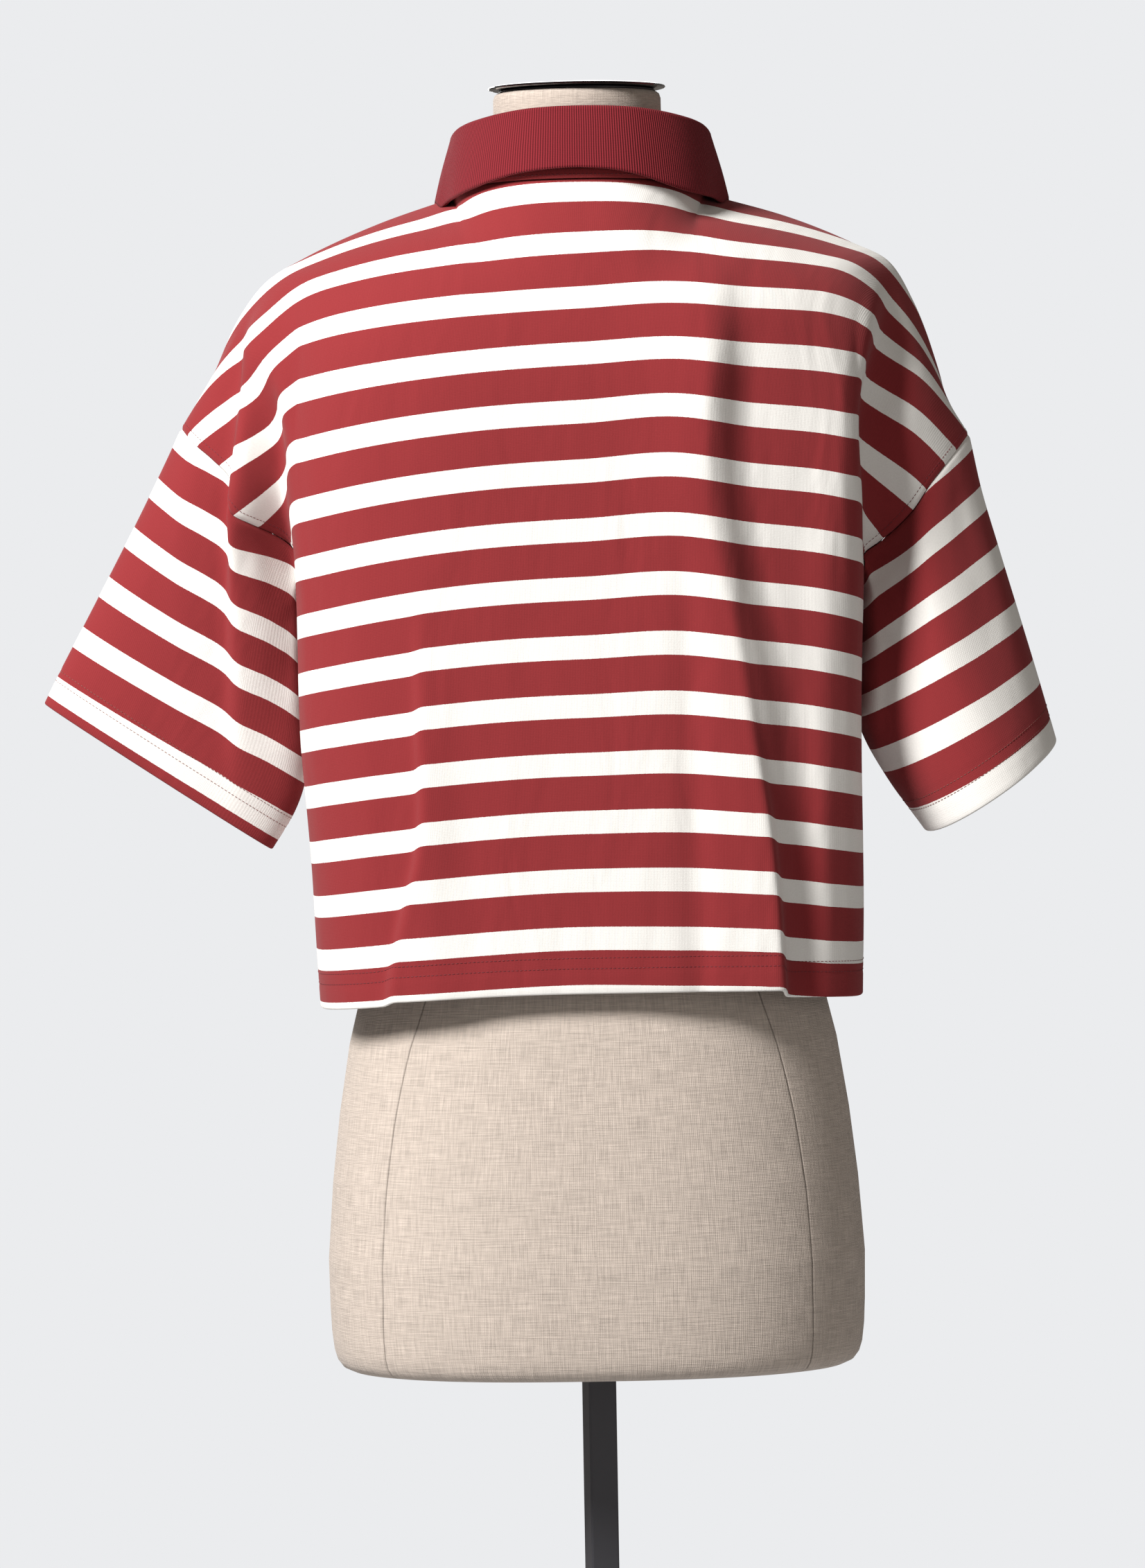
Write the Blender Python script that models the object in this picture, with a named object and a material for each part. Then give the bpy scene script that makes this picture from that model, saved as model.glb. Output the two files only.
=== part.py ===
"""A cropped, boxy polo shirt in striped jersey, worn by a linen-covered dress form on a pole and a plate.

Sizes are in millimetres and heights are from the floor. The shirt's front faces -Y, the wearer's left is +X,
and the origin is on the floor, under the pole's axis. A panel is a grid of its outer points: s runs from its
centre line (0) to the side seam or armhole (1), and t runs from its neck and shoulder edge (0) to its hem (1).
"""
import math

import bmesh
import bpy
import numpy as np
from mathutils import Matrix, Vector
from mathutils.bvhtree import BVHTree

MM = 0.001


def table(names, *rows):
    """Rows of numbers under named columns."""
    return dict(zip(names.split(), np.array(rows, float).T))


def smooth(rows, column, at):
    """A smooth curve through one column of a table, read at places along its first column."""
    keys = list(rows)
    x, y = rows[keys[0]], rows[column]
    slope = np.gradient(y, x)
    at = np.clip(np.asarray(at, float), x[0], x[-1])
    i = np.clip(np.searchsorted(x, at) - 1, 0, len(x) - 2)
    h = x[i + 1] - x[i]
    f = (at - x[i]) / h
    return (
        y[i] * (1 + 2 * f) * (1 - f) ** 2
        + y[i + 1] * f * f * (3 - 2 * f)
        + h * slope[i] * f * (1 - f) ** 2
        - h * slope[i + 1] * f * f * (1 - f)
    )


# The shirt
jersey = 1.5  # wall of the striped jersey
rib = 2.0  # wall of the rib collar
seamStep = 0.2  # how far each piece stays off its seams
creaseStep = 0.5  # how far it sinks where it faces the next one in a crease
bodyLength = 512.0  # down the centre back, from neck seam to hem
neckWidth = 92.0  # half, on the flat pattern
neckRise = 22.0  # of the back neck's ends over its centre
shoulderTip = 300.0  # half the width from tip to tip, on the flat pattern
shoulderSlope = 0.249
underarmDown = 235.0  # pattern level of the underarm
underarmT = 0.46  # the same level as a part of the panel's height
neckS = 0.30  # where the neck seam ends along the panel's top edge

# The neck seam, from the centre back (0) round the side (0.5) to the centre front (1)
neckRing = table(
    "q across depth height",
    (0.00, 0.0, 66.0, 1553.5),
    (0.15, 36.0, 61.0, 1553.0),
    (0.30, 65.0, 41.0, 1551.0),
    (0.42, 78.0, 15.0, 1548.0),
    (0.50, 80.5, -6.0, 1545.0),
    (0.62, 77.0, -32.0, 1532.0),
    (0.76, 60.0, -56.0, 1513.0),
    (0.90, 28.0, -71.0, 1496.0),
    (1.00, 0.0, -74.0, 1492.0),
)
sides = {
    "left": dict(
        sign=1,
        # the shoulder line, from neck to sleeve
        shoulder=table(
            "s across depth height",
            (0.30, 80.5, -6.0, 1545.0),
            (0.43, 127.0, -8.0, 1529.5),
            (0.57, 174.3, -9.0, 1508.6),
            (0.65, 196.5, -10.0, 1495.5),
            (0.74, 215.0, -16.0, 1473.0),
            (0.86, 232.0, -24.0, 1437.0),
            (1.00, 248.4, -28.7, 1398.0),
        ),
        armhole=dict(tip=(252.5, -8.0, 1403.0), under=(171.0, 0.0, 1304.0), back=42.0, front=60.0, square=1.65),
        seamAhead=26.0,  # how far in front of the armhole's outermost point the shoulder seam meets it
        dropPower=2.2,
    ),
    "right": dict(
        sign=-1,
        shoulder=table(
            "s across depth height",
            (0.30, 80.5, -6.0, 1545.0),
            (0.43, 130.0, -8.0, 1530.5),
            (0.57, 172.0, -9.0, 1513.0),
            (0.65, 194.0, -10.0, 1501.5),
            (0.74, 210.0, -18.0, 1476.0),
            (0.86, 226.0, -32.0, 1432.0),
            (1.00, 235.2, -42.0, 1381.6),
        ),
        armhole=dict(tip=(243.0, -8.0, 1391.0), under=(169.0, 0.0, 1302.0), back=38.0, front=60.0, square=1.65),
        seamAhead=48.0,
        dropPower=4.0,
    ),
}
# Sections of the worn body, back and front: level down the pattern as a part of its length, half widths on both
# sides, depth at the centre, height at the centre, drop of the stripes at the sides, squareness
backSections = table(
    "level left right depth height dropLeft dropRight square",
    (-0.05, 190.0, 188.0, 53.0, 1575.0, 0.0, 0.0, 2.1),
    (0.00, 190.0, 188.0, 66.0, 1553.5, 0.0, 4.0, 2.1),
    (0.07, 189.5, 187.0, 83.0, 1519.5, 4.0, 6.0, 2.3),
    (0.15, 188.5, 184.0, 98.0, 1479.0, 16.0, 12.0, 2.7),
    (0.23, 187.0, 181.0, 106.5, 1439.0, 21.0, 12.0, 3.1),
    (0.32, 186.0, 179.0, 109.0, 1394.0, 22.0, 13.0, 3.4),
    (0.46, 184.5, 177.5, 109.5, 1324.5, 21.0, 15.0, 3.5),
    (0.64, 181.0, 175.0, 110.5, 1232.0, 19.5, 14.5, 3.4),
    (0.82, 176.0, 173.5, 111.5, 1141.0, 16.0, 13.0, 3.3),
    (1.00, 170.0, 171.0, 112.0, 1051.5, 5.0, 7.0, 3.2),
)
frontSections = table(
    "level left right depth height dropLeft dropRight square",
    (-0.05, 190.0, 188.0, 40.0, 1567.0, 20.0, 20.0, 2.1),
    (0.00, 190.0, 188.0, 50.0, 1545.0, 24.0, 24.0, 2.1),
    (0.12, 189.0, 186.0, 76.0, 1492.0, 26.0, 26.0, 2.2),
    (0.20, 188.0, 184.0, 100.0, 1459.0, 34.0, 32.0, 2.4),
    (0.30, 186.5, 181.0, 120.0, 1412.0, 42.0, 38.0, 2.7),
    (0.38, 185.0, 179.0, 129.0, 1373.0, 42.0, 38.0, 3.0),
    (0.46, 184.5, 177.5, 131.5, 1333.0, 34.0, 31.0, 3.1),
    (0.64, 181.0, 175.0, 129.5, 1241.0, 25.0, 24.0, 3.2),
    (0.82, 176.0, 173.5, 127.5, 1149.0, 18.0, 17.0, 3.1),
    (1.00, 170.0, 171.0, 125.0, 1057.0, 11.0, 12.0, 3.0),
)
frontNeckDown = 62.0  # pattern level of the front neck's centre
# The side seam under the arm: height at the hem, and how far it is from the axis
sideSeam = table("t across", (0.46, 0.0), (0.50, -4.0), (0.56, -6.0), (0.70, -5.5), (0.86, -2.5), (1.00, -3.5))
hemSide = {"left": 1046.5, "right": 1044.5}
topBlend = {1: 0.20, -1: 0.30}  # down the panel, where the pull of its neck and shoulder edge has died out
# Where the cloth leaves the body for the sleeve and the side seam, and how late it is there
armPull = table(
    "t corner late",
    (0.00, 0.66, 1.25),
    (0.08, 0.67, 1.25),
    (0.20, 0.715, 1.25),
    (0.30, 0.71, 1.7),
    (0.46, 0.66, 2.0),
    (1.00, 0.66, 2.2),
)

# Folds: where each starts and ends, its half width and how far it stands out (sinks, if less than 0)
backFolds = table(
    "s0 t0 s1 t1 wide height",
    (0.69, 0.00, 1.02, 0.26, 14.0, 11.0),  # the left arm's ridge, from the shoulder point to the armhole
    (0.74, 0.05, 0.90, 0.36, 13.0, -9.0),  # the hollow between it and the back
    (-0.70, 0.00, -0.99, 0.30, 20.0, 5.0),  # the right arm's softer ridge
    (-0.75, 0.05, -0.90, 0.36, 15.0, -7.0),
    (-0.33, 0.38, -0.37, 1.25, 13.0, 6.0),  # the long fold over the right hip
    (-0.45, 0.40, -0.46, 1.25, 13.0, -8.0),
    (0.40, 0.46, 0.41, 1.20, 22.0, 3.0),  # a faint one on the left
)
frontFolds = table(
    "s0 t0 s1 t1 wide height",
    (0.72, 0.03, 0.99, 0.30, 17.0, 7.0),
    (-0.71, 0.03, -0.99, 0.30, 17.0, 6.0),
    (0.36, 0.30, 0.42, 1.25, 20.0, 6.0),  # soft folds that hang from the chest
    (0.52, 0.40, 0.56, 1.25, 18.0, -5.0),
    (-0.40, 0.32, -0.44, 1.25, 19.0, 5.0),
    (-0.56, 0.42, -0.58, 1.25, 18.0, -5.0),
)


def halfSection(across, depth, square, parts):
    """Points of quarters of squared ellipses, each at its share of the length from the centre to the side."""
    turn = np.linspace(0, math.pi / 2, 120)
    power = (2 / square)[:, None]
    x = across[:, None] * np.sin(turn) ** power
    y = depth[:, None] * np.cos(turn) ** power
    run = np.concatenate([np.zeros((len(x), 1)), np.cumsum(np.hypot(np.diff(x), np.diff(y)), axis=1)], axis=1)
    at = (parts * run[:, -1])[:, None]
    i = np.clip((run < at).sum(axis=1) - 1, 0, len(turn) - 2)
    row = np.arange(len(x))
    f = (at[:, 0] - run[row, i]) / (run[row, i + 1] - run[row, i])
    return x[row, i] * (1 - f) + x[row, i + 1] * f, y[row, i] * (1 - f) + y[row, i + 1] * f


def edgeLevel(half, s):
    """The pattern level of a panel's neck and shoulder edge, in millimetres down from the back neck."""
    s = np.abs(s)
    seam = (s * shoulderTip - neckWidth) * shoulderSlope - neckRise
    ends = (neckS * shoulderTip - neckWidth) * shoulderSlope - neckRise
    part = np.clip(s / neckS, 0, 1)
    if half == 1:
        neck = ends * part**2.4
    else:
        neck = ends + (frontNeckDown - ends) * np.sqrt(1 - part**2)
    return np.where(s < neckS, neck, seam)


def patternLevel(half, s, t):
    """The pattern level at a point of a panel, in millimetres down from the back neck."""
    top = edgeLevel(half, s)
    upper = top + (underarmDown - top) * t / underarmT
    lower = underarmDown + (bodyLength - underarmDown) * (t - underarmT) / (1 - underarmT)
    return np.where(t < underarmT, upper, lower)


def ringPoints(tip, under, back, front, square, at):
    """Points of a sleeve's section, at places from its outermost point (0) to the underarm by the back (1) or front (-1)."""
    tip, under = np.array(tip), np.array(under)
    turn = np.linspace(0, math.pi, 121)
    points = np.zeros((len(at), 3))
    for half, deep in ((1, back), (-1, front)):
        along = np.copysign(np.abs(np.cos(turn)) ** (2 / square), np.cos(turn))
        aside = half * deep * np.sin(turn) ** (2 / square)
        line = (tip + under) / 2 + along[:, None] * (tip - under) / 2
        line[:, 1] += aside
        run = np.concatenate([[0], np.cumsum(np.linalg.norm(np.diff(line, axis=0), axis=1))])
        here = (at * half) >= 0
        for i in range(3):
            points[here, i] = np.interp(np.abs(at[here]) * run[-1], run, line[:, i])
    return points


def ringPlace(side, half, part):
    """Where on a sleeve's section a part of a panel's armhole lies, from the shoulder seam (0) to the underarm (1)."""
    part = np.atleast_1d(np.asarray(part, float))
    ahead = sides[side]["seamAhead"]
    edge = underarmDown - float(edgeLevel(half, 1.0))
    seam = ahead / (edge + ahead)
    if half == -1:
        return -(seam + part * (1 - seam))
    first = ahead / edge
    return np.where(part < first, -seam * (1 - part / first), (part - first) / (1 - first))


def armhole(side, half, part):
    """A point of the armhole seam, from the shoulder seam (0) to the underarm (1), by the back (1) or front (-1)."""
    return ringPoints(at=ringPlace(side, half, part), **sides[side]["armhole"])[0]


def endShoulders():
    """The shoulder lines end where their sleeves' sections begin."""
    for side in sides:
        line = sides[side]["shoulder"]
        for key, value in zip(("across", "depth", "height"), armhole(side, 1, 0.0)):
            line[key][-1] = value


def topEdge(side, half, s):
    """The neck seam, then the shoulder seam, for half a panel."""
    q = 0.5 * np.minimum(s, neckS) / neckS
    q = q if half == 1 else 1 - q
    ring = np.stack([smooth(neckRing, key, q) for key in ("across", "depth", "height")], -1)
    line = sides[side]["shoulder"]
    seam = np.stack([smooth(line, key, s) for key in ("across", "depth", "height")], -1)
    return np.where((s <= neckS)[:, None], ring, seam)


def wornBody(side, half, s, t, around=None):
    """Points of the worn body before the sleeves pull it: a squared ellipse, drooping to its sides."""
    sections = backSections if half == 1 else frontSections
    level = patternLevel(half, s, t) / bodyLength
    wide = smooth(sections, side, level)
    parts = s if around is None else around
    x, y = halfSection(wide, smooth(sections, "depth", level), smooth(sections, "square", level), parts)
    drop = smooth(sections, "dropLeft" if side == "left" else "dropRight", level)
    z = smooth(sections, "height", level) - drop * (x / wide) ** sides[side]["dropPower"]
    return np.stack([x, half * y, z], -1)


def roundTo(side, half, s, t, edge, corner):
    """How far round the worn body each point of a row lies, so that the row ends level with its edge in depth."""
    places = np.linspace(corner, 1, 60)
    depth = half * wornBody(side, half, places, t)[:, 1]
    last = max(np.interp(-half * edge[1], -depth, places), corner + 0.08)
    return np.where(s < corner, s, corner + (s - corner) / (1 - corner) * (last - corner))


def sideLine(side, half, t):
    """The panel's outer edge: the armhole seam down to the underarm, then the side seam."""
    if t < underarmT:
        return armhole(side, half, t / underarmT)
    down = (t - underarmT) / (1 - underarmT)
    under = np.array(sides[side]["armhole"]["under"])
    return under + np.array([smooth(sideSeam, "across", t), 0.0, (hemSide[side] - under[2]) * down])


def panelSheet(half, sList, tList, folds):
    """A panel's outer points, one row for each t, one column for each s. half is 1 for the back, -1 for the front."""
    rows = []
    for t in tList:
        row = []
        fade = max(0.0, 1 - t / topBlend[half]) ** 2
        corner, late = smooth(armPull, "corner", t), smooth(armPull, "late", t)
        for side, part in (("right", sList[sList < 0]), ("left", sList[sList >= 0])):
            s = np.append(np.abs(part), 1.0)
            edge = sideLine(side, half, t)
            around = roundTo(side, half, s, t, edge, corner)
            sheet = wornBody(side, half, s, t, around)
            if fade:
                sheet += (topEdge(side, half, s) - wornBody(side, half, s, 0.0, around)) * fade
            pull = np.clip((s - corner) / (1 - corner), 0, 1) ** late
            sheet += pull[:, None] * (edge - sheet[-1])
            sheet[:, 0] *= sides[side]["sign"]
            row.append(sheet[:-1])
        rows.append(np.concatenate(row))
    sheet = np.array(rows)
    sheet[..., 1] += half * foldHeights(folds, sList, tList)
    return sheet


def foldHeights(folds, sList, tList):
    """How far the folds lift each point of a panel."""
    t, s = np.meshgrid(tList, sList, indexing="ij")
    lift = np.zeros_like(t)
    for s0, t0, s1, t1, wide, height in zip(*folds.values()):
        along = np.clip((t - t0) / (t1 - t0), 0, 1)
        off = (s - s0 - (s1 - s0) * along) * shoulderTip
        lift += height * np.exp(-((off / wide) ** 2)) * np.sin(math.pi * along) ** 0.8
    edge = np.clip((1 - np.abs(s)) / 0.05, 0, 1)
    return lift * edge


def faceNormals(sheet, half):
    """Unit normals of a grid of points, out of the shirt."""
    across = np.gradient(sheet, axis=1)
    down = np.gradient(sheet, axis=0)
    normal = np.cross(across, down) * half
    for _ in range(2):
        normal /= np.linalg.norm(normal, axis=-1, keepdims=True)
        for axis in (0, 1):
            ahead, behind = np.roll(normal, -1, axis), np.roll(normal, 1, axis)
            ends = [slice(None)] * 3
            for place, side in ((0, behind), (-1, ahead)):
                ends[axis] = place
                side[tuple(ends)] = normal[tuple(ends)]
            normal = ahead + 2 * normal + behind
    return normal / np.linalg.norm(normal, axis=-1, keepdims=True)


# The sleeves: outer and inner line in the back view, and the tube's depth behind and before, from armhole to hem
sleeveSections = {
    "left": table(
        "k outerX outerZ innerX innerZ back front square",
        (0.00, 252.5, 1403.0, 171.0, 1304.0, 42.0, 60.0, 1.65),
        (0.04, 255.5, 1396.5, 175.5, 1297.5, 41.0, 59.0, 1.7),
        (0.14, 264.0, 1379.0, 180.0, 1279.0, 38.5, 56.0, 1.85),
        (0.30, 277.5, 1352.0, 181.5, 1253.0, 35.0, 51.0, 2.1),
        (0.50, 295.5, 1318.0, 182.0, 1221.0, 31.0, 43.0, 2.2),
        (0.72, 316.0, 1280.0, 183.0, 1184.0, 27.0, 34.0, 2.2),
        (0.88, 331.0, 1252.5, 190.0, 1159.0, 25.0, 27.0, 2.2),
        (1.00, 341.2, 1232.6, 200.0, 1139.5, 23.0, 25.0, 2.2),
    ),
    "right": table(
        "k outerX outerZ innerX innerZ back front square",
        (0.00, 243.0, 1391.0, 169.0, 1302.0, 38.0, 60.0, 1.65),
        (0.04, 244.6, 1383.0, 173.0, 1296.5, 39.0, 61.0, 1.7),
        (0.16, 249.5, 1359.0, 176.0, 1277.0, 42.0, 64.0, 1.85),
        (0.36, 260.0, 1321.0, 177.0, 1247.0, 47.0, 70.0, 2.0),
        (0.60, 273.0, 1276.0, 179.0, 1211.0, 53.0, 71.0, 2.0),
        (0.82, 285.0, 1234.0, 192.0, 1176.0, 57.5, 71.5, 2.0),
        (1.00, 294.5, 1199.0, 210.5, 1146.0, 60.0, 72.0, 2.0),
    ),
}
sleeveDip = {"left": 0.0, "right": 7.0}  # how much lower the hem is behind than before
# Folds of the sleeves: place round the tube (0 outside, 0.5 behind, 1 under the arm, -0.5 before), as for the panels
sleeveFolds = {
    "left": table(
        "at0 k0 at1 k1 wide height",
        (0.50, -0.30, 0.44, 1.30, 15.0, 5.0),
        (0.70, -0.30, 0.66, 1.30, 15.0, -7.0),
        (-0.60, -0.30, -0.52, 1.30, 15.0, 4.0),
    ),
    "right": table(
        "at0 k0 at1 k1 wide height",
        (0.55, -0.40, 0.46, 0.90, 17.0, 4.0),
        (0.25, -0.30, 0.30, 1.20, 17.0, -4.0),
        (-0.55, -0.40, -0.50, 1.10, 17.0, 4.0),
    ),
}
sleeveHalfRound = 205.0  # half the cloth round a sleeve, to measure the folds' widths


def sleeveSheet(side, kList, parts):
    """A sleeve's outer points, one row for each k and a closed round of columns: back, underarm, front, top."""
    rows = sleeveSections[side]
    at = np.concatenate([ringPlace(side, 1, parts), ringPlace(side, -1, parts)[-2:0:-1]])
    turn = np.copysign(np.clip(np.abs(at), 0, 1), at) * math.pi
    start, end = sides[side]["armhole"]["tip"][1], sides[side]["armhole"]["under"][1]
    sheet = []
    for k in kList:
        outer = (smooth(rows, "outerX", k), start, smooth(rows, "outerZ", k))
        inner = (smooth(rows, "innerX", k), end, smooth(rows, "innerZ", k))
        ring = ringPoints(outer, inner, *(smooth(rows, key, k) for key in ("back", "front", "square")), at)
        ring[:, 2] -= sleeveDip[side] * k * np.sin(turn)
        sheet.append(ring)
    sheet = np.array(sheet)
    normal = tubeNormals(sheet)
    lift = np.zeros(sheet.shape[:2])
    k = np.asarray(kList)[:, None]
    for at0, k0, at1, k1, wide, height in zip(*sleeveFolds[side].values()):
        along = np.clip((k - k0) / (k1 - k0), 0, 1)
        off = (at[None] - at0 - (at1 - at0) * along) * sleeveHalfRound
        lift += height * np.exp(-((off / wide) ** 2)) * np.sin(math.pi * along)
    lift *= np.clip(k / 0.12, 0, 1)
    sheet = sheet + normal * lift[..., None]
    sheet[..., 0] *= sides[side]["sign"]
    return sheet, tubeNormals(sheet)


def tubeNormals(sheet):
    """Unit normals of a closed round of points, out of the tube."""
    around = np.roll(sheet, -1, axis=1) - np.roll(sheet, 1, axis=1)
    normal = np.cross(np.gradient(sheet, axis=0), around)
    normal /= np.linalg.norm(normal, axis=-1, keepdims=True)
    middle = sheet.mean(axis=1, keepdims=True)
    return normal * np.sign(((sheet - middle) * normal).sum(axis=-1).mean())


def newMaterial(name, hexColour, roughness, metallic=0.0):
    """A Principled surface in one sRGB colour."""
    material = bpy.data.materials.new(name)
    material.use_nodes = True
    shader = material.node_tree.nodes["Principled BSDF"]
    parts = [int(hexColour[i : i + 2], 16) / 255 for i in (0, 2, 4)]
    linear = [c / 12.92 if c <= 0.04045 else ((c + 0.055) / 1.055) ** 2.4 for c in parts]
    shader.inputs["Base Color"].default_value = (*linear, 1.0)
    shader.inputs["Roughness"].default_value = roughness
    shader.inputs["Metallic"].default_value = metallic
    material.diffuse_color = (*linear, 1.0)
    return material


def makeObject(name, mesh, material):
    """A closed mesh as a named object, its faces turned out."""
    bm = bmesh.new()
    bm.from_mesh(mesh)
    bmesh.ops.recalc_face_normals(bm, faces=bm.faces)
    bm.to_mesh(mesh)
    bm.free()
    mesh.shade_smooth()
    mesh.set_sharp_from_angle(angle=math.radians(50))
    mesh.materials.append(material)
    thing = bpy.data.objects.new(name, mesh)
    bpy.context.collection.objects.link(thing)
    return thing


def wall(name, sheet, normal, thick, material, wrap=False, left=None):
    """A cloth wall under a grid of outer points. wrap joins the last column to the first; left marks the cells kept."""
    rows, columns = sheet.shape[:2]
    cells = columns if wrap else columns - 1
    kept = np.ones((rows - 1, cells), bool) if left is None else left
    inner = sheet - normal * thick
    points = np.concatenate([sheet.reshape(-1, 3), inner.reshape(-1, 3)]) * MM
    below = rows * columns
    faces, edges = [], {}
    for r, c in zip(*np.nonzero(kept)):
        d = (c + 1) % columns
        loop = [r * columns + c, r * columns + d, (r + 1) * columns + d, (r + 1) * columns + c]
        faces.append(loop)
        faces.append([i + below for i in reversed(loop)])
        for a, b in zip(loop, loop[1:] + loop[:1]):
            if (b, a) in edges:
                del edges[(b, a)]
            else:
                edges[(a, b)] = True
    for a, b in edges:
        faces.append([b, a, a + below, b + below])
    used = sorted({i for face in faces for i in face})
    place = {old: new for new, old in enumerate(used)}
    mesh = bpy.data.meshes.new(name)
    mesh.from_pydata(points[used].tolist(), [], [[place[i] for i in face] for face in faces])
    return makeObject(name, mesh, material)


def turned(name, profile, segments, material, place=None):
    """A solid turned about its own Z axis from (radius, height) points, top centre last, then put in its place."""
    points, faces = [], []
    for radius, height in profile:
        for i in range(segments):
            turn = 2 * math.pi * i / segments
            points.append((radius * math.cos(turn) * MM, radius * math.sin(turn) * MM, height * MM))
    for ring in range(len(profile) - 1):
        for i in range(segments):
            j = (i + 1) % segments
            faces.append([ring * segments + i, ring * segments + j, (ring + 1) * segments + j, (ring + 1) * segments + i])
    faces.append(list(range(segments))[::-1])
    faces.append([(len(profile) - 1) * segments + i for i in range(segments)])
    mesh = bpy.data.meshes.new(name)
    mesh.from_pydata(points, [], faces)
    if place is not None:
        mesh.transform(place)
    return makeObject(name, mesh, material)


# The collar along the neck seam, from centre back (0) to centre front (1): height of the fold over the seam, lean
# of the stand, how far out the fall's edge is, and its height over the seam where it doesn't lie on the shirt
collar = table(
    "q stand lean reach edge",
    (0.00, 42.0, -3.5, 9.0, 8.5),
    (0.15, 41.5, -4.0, 8.5, 8.0),
    (0.30, 39.5, -5.0, 7.5, 4.0),
    (0.42, 37.0, -5.5, 7.0, -3.0),
    (0.50, 35.5, -5.0, 8.5, -20.0),
    (0.62, 34.0, -4.0, 13.0, -60.0),
    (0.76, 32.0, -2.0, 25.0, -90.0),
    (0.90, 31.0, -2.0, 32.0, -90.0),
    (1.00, 30.0, -2.0, 35.0, -90.0),
)
collarEnd = 0.984  # where the collar's ends face each other at the front
collarSpread = 0.075  # how far the fall's points spread apart, along the neck seam
collarOnCloth = 1.0  # the fall's edge over the shirt, and over the placket
collarOnPlacket = 2.6
collarFoot = 0.8  # the stand's lower edge, over the neck seam
collarLean = -2.0  # how far the fold has slipped to the wearer's right
foldRadius = 3.5
bandHeight = 6.5
bandWall = 1.2
bandEnd = 0.925  # the band stops at the placket
placketWidth = 31.0
placketDown = 0.37  # the placket's foot, down the front
slitS = 0.03  # half the slit under the placket
slitDown = 0.35
stripWall = 1.2
placketStart = 0.12  # how far the strips' upper ends stay off the neck seam, in rows of the panel
buttonRadius = 5.7
buttonHeight = 2.6
buttonPlaces = (14.0, 68.0, 122.0)  # down the placket
buttonSegments = 20
buttonProfile = (
    (buttonRadius * 0.72, 0.0),
    (buttonRadius * 0.95, 0.6),
    (buttonRadius, 1.4),
    (buttonRadius * 0.96, 2.2),
    (buttonRadius * 0.86, buttonHeight),
    (buttonRadius * 0.72, 2.3),
    (buttonRadius * 0.58, 1.9),
)


def neckPlace(q):
    """Points of the left half of the neck seam, and the level direction away from the neck there."""
    q = np.asarray(q, float)
    point = np.stack([smooth(neckRing, key, q) for key in ("across", "depth", "height")], -1)
    step = 0.004
    ahead, behind = np.clip(q + step, 0, 1), np.clip(q - step, 0, 1)
    run = np.stack(
        [smooth(neckRing, key, ahead) - smooth(neckRing, key, behind) for key in ("across", "depth")], -1
    )
    out = np.stack([-run[:, 1], run[:, 0], np.zeros(len(q))], -1)
    out /= np.linalg.norm(out, axis=-1, keepdims=True)
    return point, out


def clothUnder(panels):
    """A tree of the panels' outer faces, to find the cloth below a point."""
    points, faces = [], []
    for sheet in panels:
        rows, columns = sheet.shape[:2]
        start = len(points)
        points += [Vector(p) for p in sheet.reshape(-1, 3)]
        for r in range(rows - 1):
            for c in range(columns - 1):
                a = start + r * columns + c
                faces.append((a, a + 1, a + 1 + columns, a + columns))
    return BVHTree.FromPolygons(points, faces)


def collarSheet(qList, cloth, stand=4, bend=5, fall=7):
    """The collar's show side for the left half: up the stand's neck side, over the fold and down the fall."""
    point, out = neckPlace(qList)
    edgePoint, edgeOut = neckPlace(qList - collarSpread * (qList / collarEnd) ** 4)
    up = np.array([0, 0, 1.0])
    columns = []
    for q, at, away, edgeAt, edgeAway in zip(qList, point, out, edgePoint, edgeOut):
        crown = at + away * smooth(collar, "lean", q) + up * (smooth(collar, "stand", q) - foldRadius)
        foot = at - away * rib + up * collarFoot
        edge = edgeAt + edgeAway * smooth(collar, "reach", q) + up * smooth(collar, "edge", q)
        over = Vector((edge[0], edge[1], at[2] + 60.0))
        hit, slope, _, _ = cloth.ray_cast(over, Vector((0, 0, -1)))
        if hit is not None:
            clear = collarOnCloth + (collarOnPlacket - collarOnCloth) * np.clip((q - 0.6) / 0.2, 0, 1)
            edge[2] = max(edge[2], hit.z + (rib + clear) / max(0.35, abs(slope.z)))
        turns = np.linspace(0, math.pi, bend)
        arc = [crown - away * foldRadius * math.cos(a) + up * foldRadius * math.sin(a) for a in turns]
        rise = [foot + (arc[0] - foot) * f for f in np.linspace(0, 1, stand)[:-1]]
        drop = np.linspace(0, 1, fall + 1)[1:]
        bulge = (away + 0.5 * up) * (1.0 + 4.5 * q)
        down = [arc[-1] + (edge - arc[-1]) * f + bulge * math.sin(math.pi * f) for f in drop]
        columns.append(rise + arc + down)
    return np.array(columns).transpose(1, 0, 2)


def bothHalves(sheet):
    """A left half, with its first column on the centre line, and its mirror image on the right."""
    right = sheet[:, :0:-1] * np.array([-1, 1, 1])
    return np.concatenate([right, sheet], axis=1)


def gridNormals(sheet, toward):
    """Unit normals of a grid, on the side where they point with the given grid of directions."""
    normal = np.cross(np.gradient(sheet, axis=1), np.gradient(sheet, axis=0))
    normal /= np.linalg.norm(normal, axis=-1, keepdims=True)
    return normal * np.sign((normal * toward).sum())


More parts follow.
